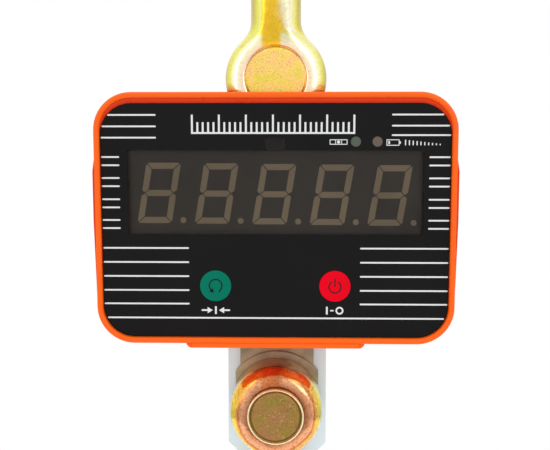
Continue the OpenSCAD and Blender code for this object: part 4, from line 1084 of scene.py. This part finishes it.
def digit_outlines(s, u, v):
    """The seven segments and the point of one slanted digit."""
    w, h, t, g = s.digit_wide / 2, s.digit_high / 2, s.segment, s.segment_gap / 2
    lean = math.tan(math.radians(9.5))
    clip = t * 0.32
    r = g * math.sqrt(2)
    top = [(-w + clip + r, h), (w - clip - r, h), (w - clip * 0.5 - r, h - clip * 0.5),
           (w - t - r, h - t), (-w + t + r, h - t), (-w + clip * 0.5 + r, h - clip * 0.5)]
    side = [(-w, h - clip - r), (-w + clip * 0.5, h - clip * 0.5 - r), (-w + t, h - t - r),
            (-w + t, t / 2 + r), (-w + t / 2, r * 0.9), (-w, t * 0.35 + r)]
    mid = [(-w + t / 2 + r, 0), (-w + t + r, t / 2), (w - t - r, t / 2),
           (w - t / 2 - r, 0), (w - t - r, -t / 2), (-w + t + r, -t / 2)]
    shapes = [top, mid, side, *([(i * x, j * y) for x, y in shape]
                                for shape, i, j in ((side, -1, 1), (top, 1, -1), (side, 1, -1), (side, -1, -1)))]
    point = disc(u + w + 3.35 * MM, v - h + t * 0.46, t * 0.49, 24)
    return [[(u + x + y * lean, v + y) for x, y in shape] for shape in shapes] + [point]


class SCALE_OT_backing(bpy.types.Operator):
    """Lays the grey mask that fills the window round the digits"""

    bl_idname = "crane_scale.backing"
    bl_label = "Display Mask"

    def execute(self, context):
        air, thin = 0.1 * MM, 0.5 * MM
        (u0, u1), (_, v1), (back, _) = face_box("display_window")
        _, (low, top), (_, face) = face_box("digit_1")
        left, right, low, top = u0 + air, u1 - air, low - 2.0 * MM, top + 2.0 * MM
        mid_u = face_middle("ir_receiver")[0]
        w = face - 0.12 * MM
        body = frame_body("display_window")
        walls = frame_outline(left, right, low, top, thin)
        prisms("display_frame", walls, w, back - 0.05 * MM, body, "dark_plastic")
        sheets = [oblong(left, right, low, top), oblong(mid_u - 4.9 * MM, mid_u + 4.9 * MM, top, v1 - air)]
        prisms("display_mask", sheets, w - 0.4 * MM, w, body, "digit_face")
        return {"FINISHED"}


class SCALE_OT_digits(bpy.types.Operator):
    """Lays the unlit segments on the faces of the five digits"""

    bl_idname = "crane_scale.digits"
    bl_label = "Digit Segments"

    def execute(self, context):
        s = context.scene.crane_sizes
        for n in range(1, 6):
            node = f"digit_{n}"
            u, v = face_middle(node)
            face = face_box(node)[2][1]
            drop = (n - 1) * s.digit_step + 0.4 * MM
            prisms(f"digit_{n}_segments", digit_outlines(s, u - 0.5 * MM, v - drop), face - 0.1 * MM,
                   face + 0.06 * MM, frame_body(node), "segment_tan")
        return {"FINISHED"}


# ---------------------------------------------------------------- small metal parts

class SCALE_OT_springs(bpy.types.Operator):
    """Winds the two torsion springs of the latch"""

    bl_idname = "crane_scale.springs"
    bl_label = "Latch Springs"

    def execute(self, context):
        low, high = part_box("latch_springs")
        wire = 0.9 * MM
        radius = (high.x - low.x) / 2 - wire / 2
        x, z = (low.x + high.x) / 2, (low.z + high.z) / 2
        shells = []
        for k in (-1, 1):
            y0, y1 = k * (4.6 * MM + wire / 2), k * (high.y - wire / 2)
            turns = np.linspace(0, 3 * 2 * math.pi, 150)
            line = [
                (x + radius * math.cos(a), y0 + (y1 - y0) * a / turns[-1], z + radius * math.sin(a)) for a in turns
            ]
            shells.append(coil_skin(line, wire / 2))
        stand_in(joined("latch_spring_coils", *shells), "latch_springs", "bright_steel", 40)
        return {"FINISHED"}


def coil_skin(line, radius, sides=12):
    """Skin of a wire along any line."""
    line = np.array(line, float)
    way = np.gradient(line, axis=0)
    way /= np.linalg.norm(way, axis=1)[:, None]
    normal = np.cross(way, (0, 1, 0))
    normal /= np.linalg.norm(normal, axis=1)[:, None]
    other = np.cross(way, normal)
    a = np.linspace(0, 2 * math.pi, sides, endpoint=False)[:, None]
    rings = line[:, None] + radius * (normal[:, None] * np.cos(a) + other[:, None] * np.sin(a))
    return rings.reshape(-1, 3), tube_faces(len(line), sides)


class SCALE_OT_socket(bpy.types.Operator):
    """Turns the threaded charging socket with its flange"""

    bl_idname = "crane_scale.socket"
    bl_label = "Charging Socket"

    def execute(self, context):
        low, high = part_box("charging_socket")
        r = (high.x - low.x) / 2 - 2 * MM
        points = [(-1.6, 5), (-1.6, 0.3), (-1.3, 0), (-0.8, 0)]
        for i in range(7):
            z = 0.35 + i * 0.85
            points += [(-0.55, z), (0, z + 0.3), (0, z + 0.45), (-0.55, z + 0.75)]
        points += [(-0.6, 6), (1.6, 6), (2, 6.4), (2, 7.6), (1.6, 7.98), (-1, 7.98), (-1, (high.z - low.z) / MM)]
        x, y, _ = (low + high) / 2
        vertices, faces = turned(in_mm(points, r, low.z), (x, y, 0), (0, 0, 1), 64)
        body = frame_body("charging_socket")
        obj = piece("charging_socket_thread", vertices, faces, body, "bright_steel", 25)
        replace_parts(obj, "charging_socket")
        return {"FINISHED"}


# ---------------------------------------------------------------- CAD nodes

EASED = {
    "load_cell": 0.5,
    "cheek_plate_front": 0.35,
    "cheek_plate_rear": 0.35,
    "upper_pin": 0.5,
    "lower_pin": 0.5,
    "battery_door": 0.7,
    "hook_nut": 0.6,
    "latch": 0.35,
}


class SCALE_OT_finishes(bpy.types.Operator):
    """Gives every part its finish, and eases the edges of the larger metal parts"""

    bl_idname = "crane_scale.finishes"
    bl_label = "Finishes"

    def execute(self, context):
        for name, obj in frame["nodes"].items():
            for slot in obj.material_slots:
                label = slot.material.name.split(".")[0] if slot.material else ""
                finish = NODE_FINISH.get(name) or SLOT_FINISH.get(label)
                if finish is None:
                    raise RuntimeError(f"{name} has a slot {label!r} with no finish")
                slot.material = FINISHES[finish]
        for name, width in EASED.items():
            obj = frame["nodes"][name]
            weld = obj.modifiers.new("weld", "WELD")
            weld.merge_threshold = 1e-6
            bevel = obj.modifiers.new("ease", "BEVEL")
            bevel.width = width * MM
            bevel.segments = 2
            bevel.limit_method = "ANGLE"
            bevel.angle_limit = math.radians(32)
            bevel.harden_normals = False
        return {"FINISHED"}


# ---------------------------------------------------------------- stage

class CraneScaleStage(bpy.types.PropertyGroup):
    camera_far: number("Camera distance", "From the load line to the camera", 0.5238, unit="LENGTH")
    camera_side: number("Camera side", "Camera to the right of the load line", 0.0122, unit="LENGTH")
    camera_low: number("Camera height", "Camera below the seat of the bow", 0.1354, unit="LENGTH")
    camera_tilt: number("Camera tilt", "How far the camera looks down", math.radians(5.3), subtype="ANGLE")
    camera_turn: number("Camera turn", "How far the camera looks to the left", math.radians(1.5), subtype="ANGLE")
    lens: number("Lens", "Focal length on a 36 mm sensor", 61.33, unit="CAMERA")
    floor_gap: size("Floor gap", "Air below the hook", 4)
    surround: number("Surround", "Brightness of the studio walls", 0.95)
    front: number("Front", "Brightness of the studio behind the camera", 0.88)
    ground: number("Ground", "Share of the studio's light that comes from below", 0.15)
    key_light: number("Key light", "Power of the box light on the right", 2.6, unit="POWER")
    fill_light: number("Fill light", "Power of the box light on the left", 1.2, unit="POWER")
    top_light: number("Top light", "Power of the box light overhead", 1.5, unit="POWER")


def box_light(name, power, at, target, wide, high):
    light = bpy.data.lights.new(name, "AREA")
    light.shape = "RECTANGLE"
    light.size, light.size_y = wide, high
    light.energy = power
    obj = hang(name, light)
    obj.location = at
    obj.rotation_euler = (Vector(target) - Vector(at)).to_track_quat("-Z", "Y").to_euler()


def studio_world(t):
    """A pale studio, darker below and behind the camera, that the camera itself sees as white."""
    world = bpy.data.worlds.new("studio")
    world.use_nodes = True
    n = Nodes(world.node_tree)
    x, y, z = n.split(n.add("ShaderNodeTexCoord").outputs["Generated"])
    across = n.math("MULTIPLY", n.math("ABSOLUTE", x), 1.8)
    down = n.math("MULTIPLY", n.math("ABSOLUTE", z), 2.9)
    behind = n.math("ADD", n.math("MAXIMUM", across, down), n.math("GREATER_THAN", y, 0.0))
    walls = n.ramp(behind, [(0.44, t.front), (0.58, t.surround)])
    height = n.math("ADD", n.math("MULTIPLY", z, 0.5), 0.5)
    light = n.tint("MULTIPLY", 1.0, walls, n.ramp(height, [(0.12, t.ground), (0.47, 1.0)]))
    soft, white, mix = (n.add(f"ShaderNode{kind}") for kind in ("Background", "Background", "MixShader"))
    n.give(soft, {"Color": light, "Strength": STUDIO_LIGHT})
    n.give(white, {"Color": (1, 1, 1)})
    seen = n.add("ShaderNodeLightPath").outputs["Is Camera Ray"]
    n.give(mix, {0: seen, 1: soft.outputs[0], 2: white.outputs[0]})
    n.link(mix.outputs[0], n.add("ShaderNodeOutputWorld").inputs["Surface"])
    return world


STUDIO_LIGHT = 1.08
FLOOR_RADIUS, FLOOR_SIDES = 0.54, 96


class SCALE_OT_stage(bpy.types.Operator):
    """Lays the pale floor, hangs the box lights and sets the camera"""

    bl_idname = "crane_scale.stage"
    bl_label = "Studio"

    def execute(self, context):
        t = context.scene.crane_stage
        context.scene.world = studio_world(t)

        floor_z = CAD_LOW.z - t.floor_gap
        rim = disc(0, 0, FLOOR_RADIUS, FLOOR_SIDES)
        vertices = [(0, 0, floor_z)] + [(x, y, floor_z) for x, y in rim]
        mesh = bpy.data.meshes.new("floor")
        mesh.from_pydata(vertices, [], [(0, i + 1, (i + 1) % FLOOR_SIDES + 1) for i in range(FLOOR_SIDES)])
        m = Mix("floor_white")
        m.feed("Base Color", m.ramp(m.noise(4, 2), [(0.3, 0.86), (0.7, 0.9)]))
        m.set(Roughness=0.8, Specular_IOR_Level=0.1, Emission_Strength=0.2, Emission_Color=(1, 1, 1))
        mesh.materials.append(m.material)
        floor = hang("floor", mesh)

        aim = (0, 0, middle("front_panel").z)
        box_light("key_box", t.key_light, (0.62, -0.85, 0.25), aim, 0.5, 0.8)
        box_light("fill_box", t.fill_light, (-0.75, -0.70, 0.10), aim, 0.4, 0.8)
        box_light("top_box", t.top_light, (0.0, -0.15, 0.75), aim, 0.9, 0.5)

        camera = bpy.data.cameras.new("camera")
        camera.sensor_width = 36.0
        camera.lens = t.lens
        camera.clip_start, camera.clip_end = 0.01, 50
        obj = hang("camera", camera)
        obj.location = (t.camera_side, -t.camera_far, -t.camera_low)
        obj.rotation_euler = (math.pi / 2 - t.camera_tilt, 0, t.camera_turn)
        context.scene.camera = obj
        context.scene.view_settings.view_transform = "Standard"
        return {"FINISHED"}


# ---------------------------------------------------------------- add-on

class SCALE_PT_panel(bpy.types.Panel):
    """Lists the pieces of the crane scale"""

    bl_label = "Crane Scale"
    bl_idname = "SCALE_PT_panel"
    bl_space_type = "VIEW_3D"
    bl_region_type = "UI"
    bl_category = "Crane Scale"

    def draw(self, context):
        column = self.layout.column(align=True)
        for kind in OPERATORS:
            column.operator(kind.bl_idname)
        for group in (context.scene.crane_sizes, context.scene.crane_colours, context.scene.crane_stage):
            box = self.layout.box()
            for name in group.__annotations__:
                box.prop(group, name)


OPERATORS = (
    SCALE_OT_finishes,
    SCALE_OT_shackle,
    SCALE_OT_fork,
    SCALE_OT_hook,
    SCALE_OT_springs,
    SCALE_OT_socket,
    SCALE_OT_print,
    SCALE_OT_key_print,
    SCALE_OT_backing,
    SCALE_OT_digits,
    SCALE_OT_stage,
)
GROUPS = (CraneScaleSizes, CraneScaleColours, CraneScaleStage)


def register():
    for kind in (*GROUPS, *OPERATORS, SCALE_PT_panel):
        bpy.utils.register_class(kind)
    bpy.types.Scene.crane_sizes = PointerProperty(type=CraneScaleSizes)
    bpy.types.Scene.crane_colours = PointerProperty(type=CraneScaleColours)
    bpy.types.Scene.crane_stage = PointerProperty(type=CraneScaleStage)


def unregister():
    del bpy.types.Scene.crane_stage, bpy.types.Scene.crane_colours, bpy.types.Scene.crane_sizes
    for kind in reversed((*GROUPS, *OPERATORS, SCALE_PT_panel)):
        bpy.utils.unregister_class(kind)


def main():
    register()
    mix_finishes(bpy.context.scene.crane_colours)
    for kind in OPERATORS:
        group, name = kind.bl_idname.split(".")
        getattr(getattr(bpy.ops, group), name)()


if __name__ == "__main__":
    main()
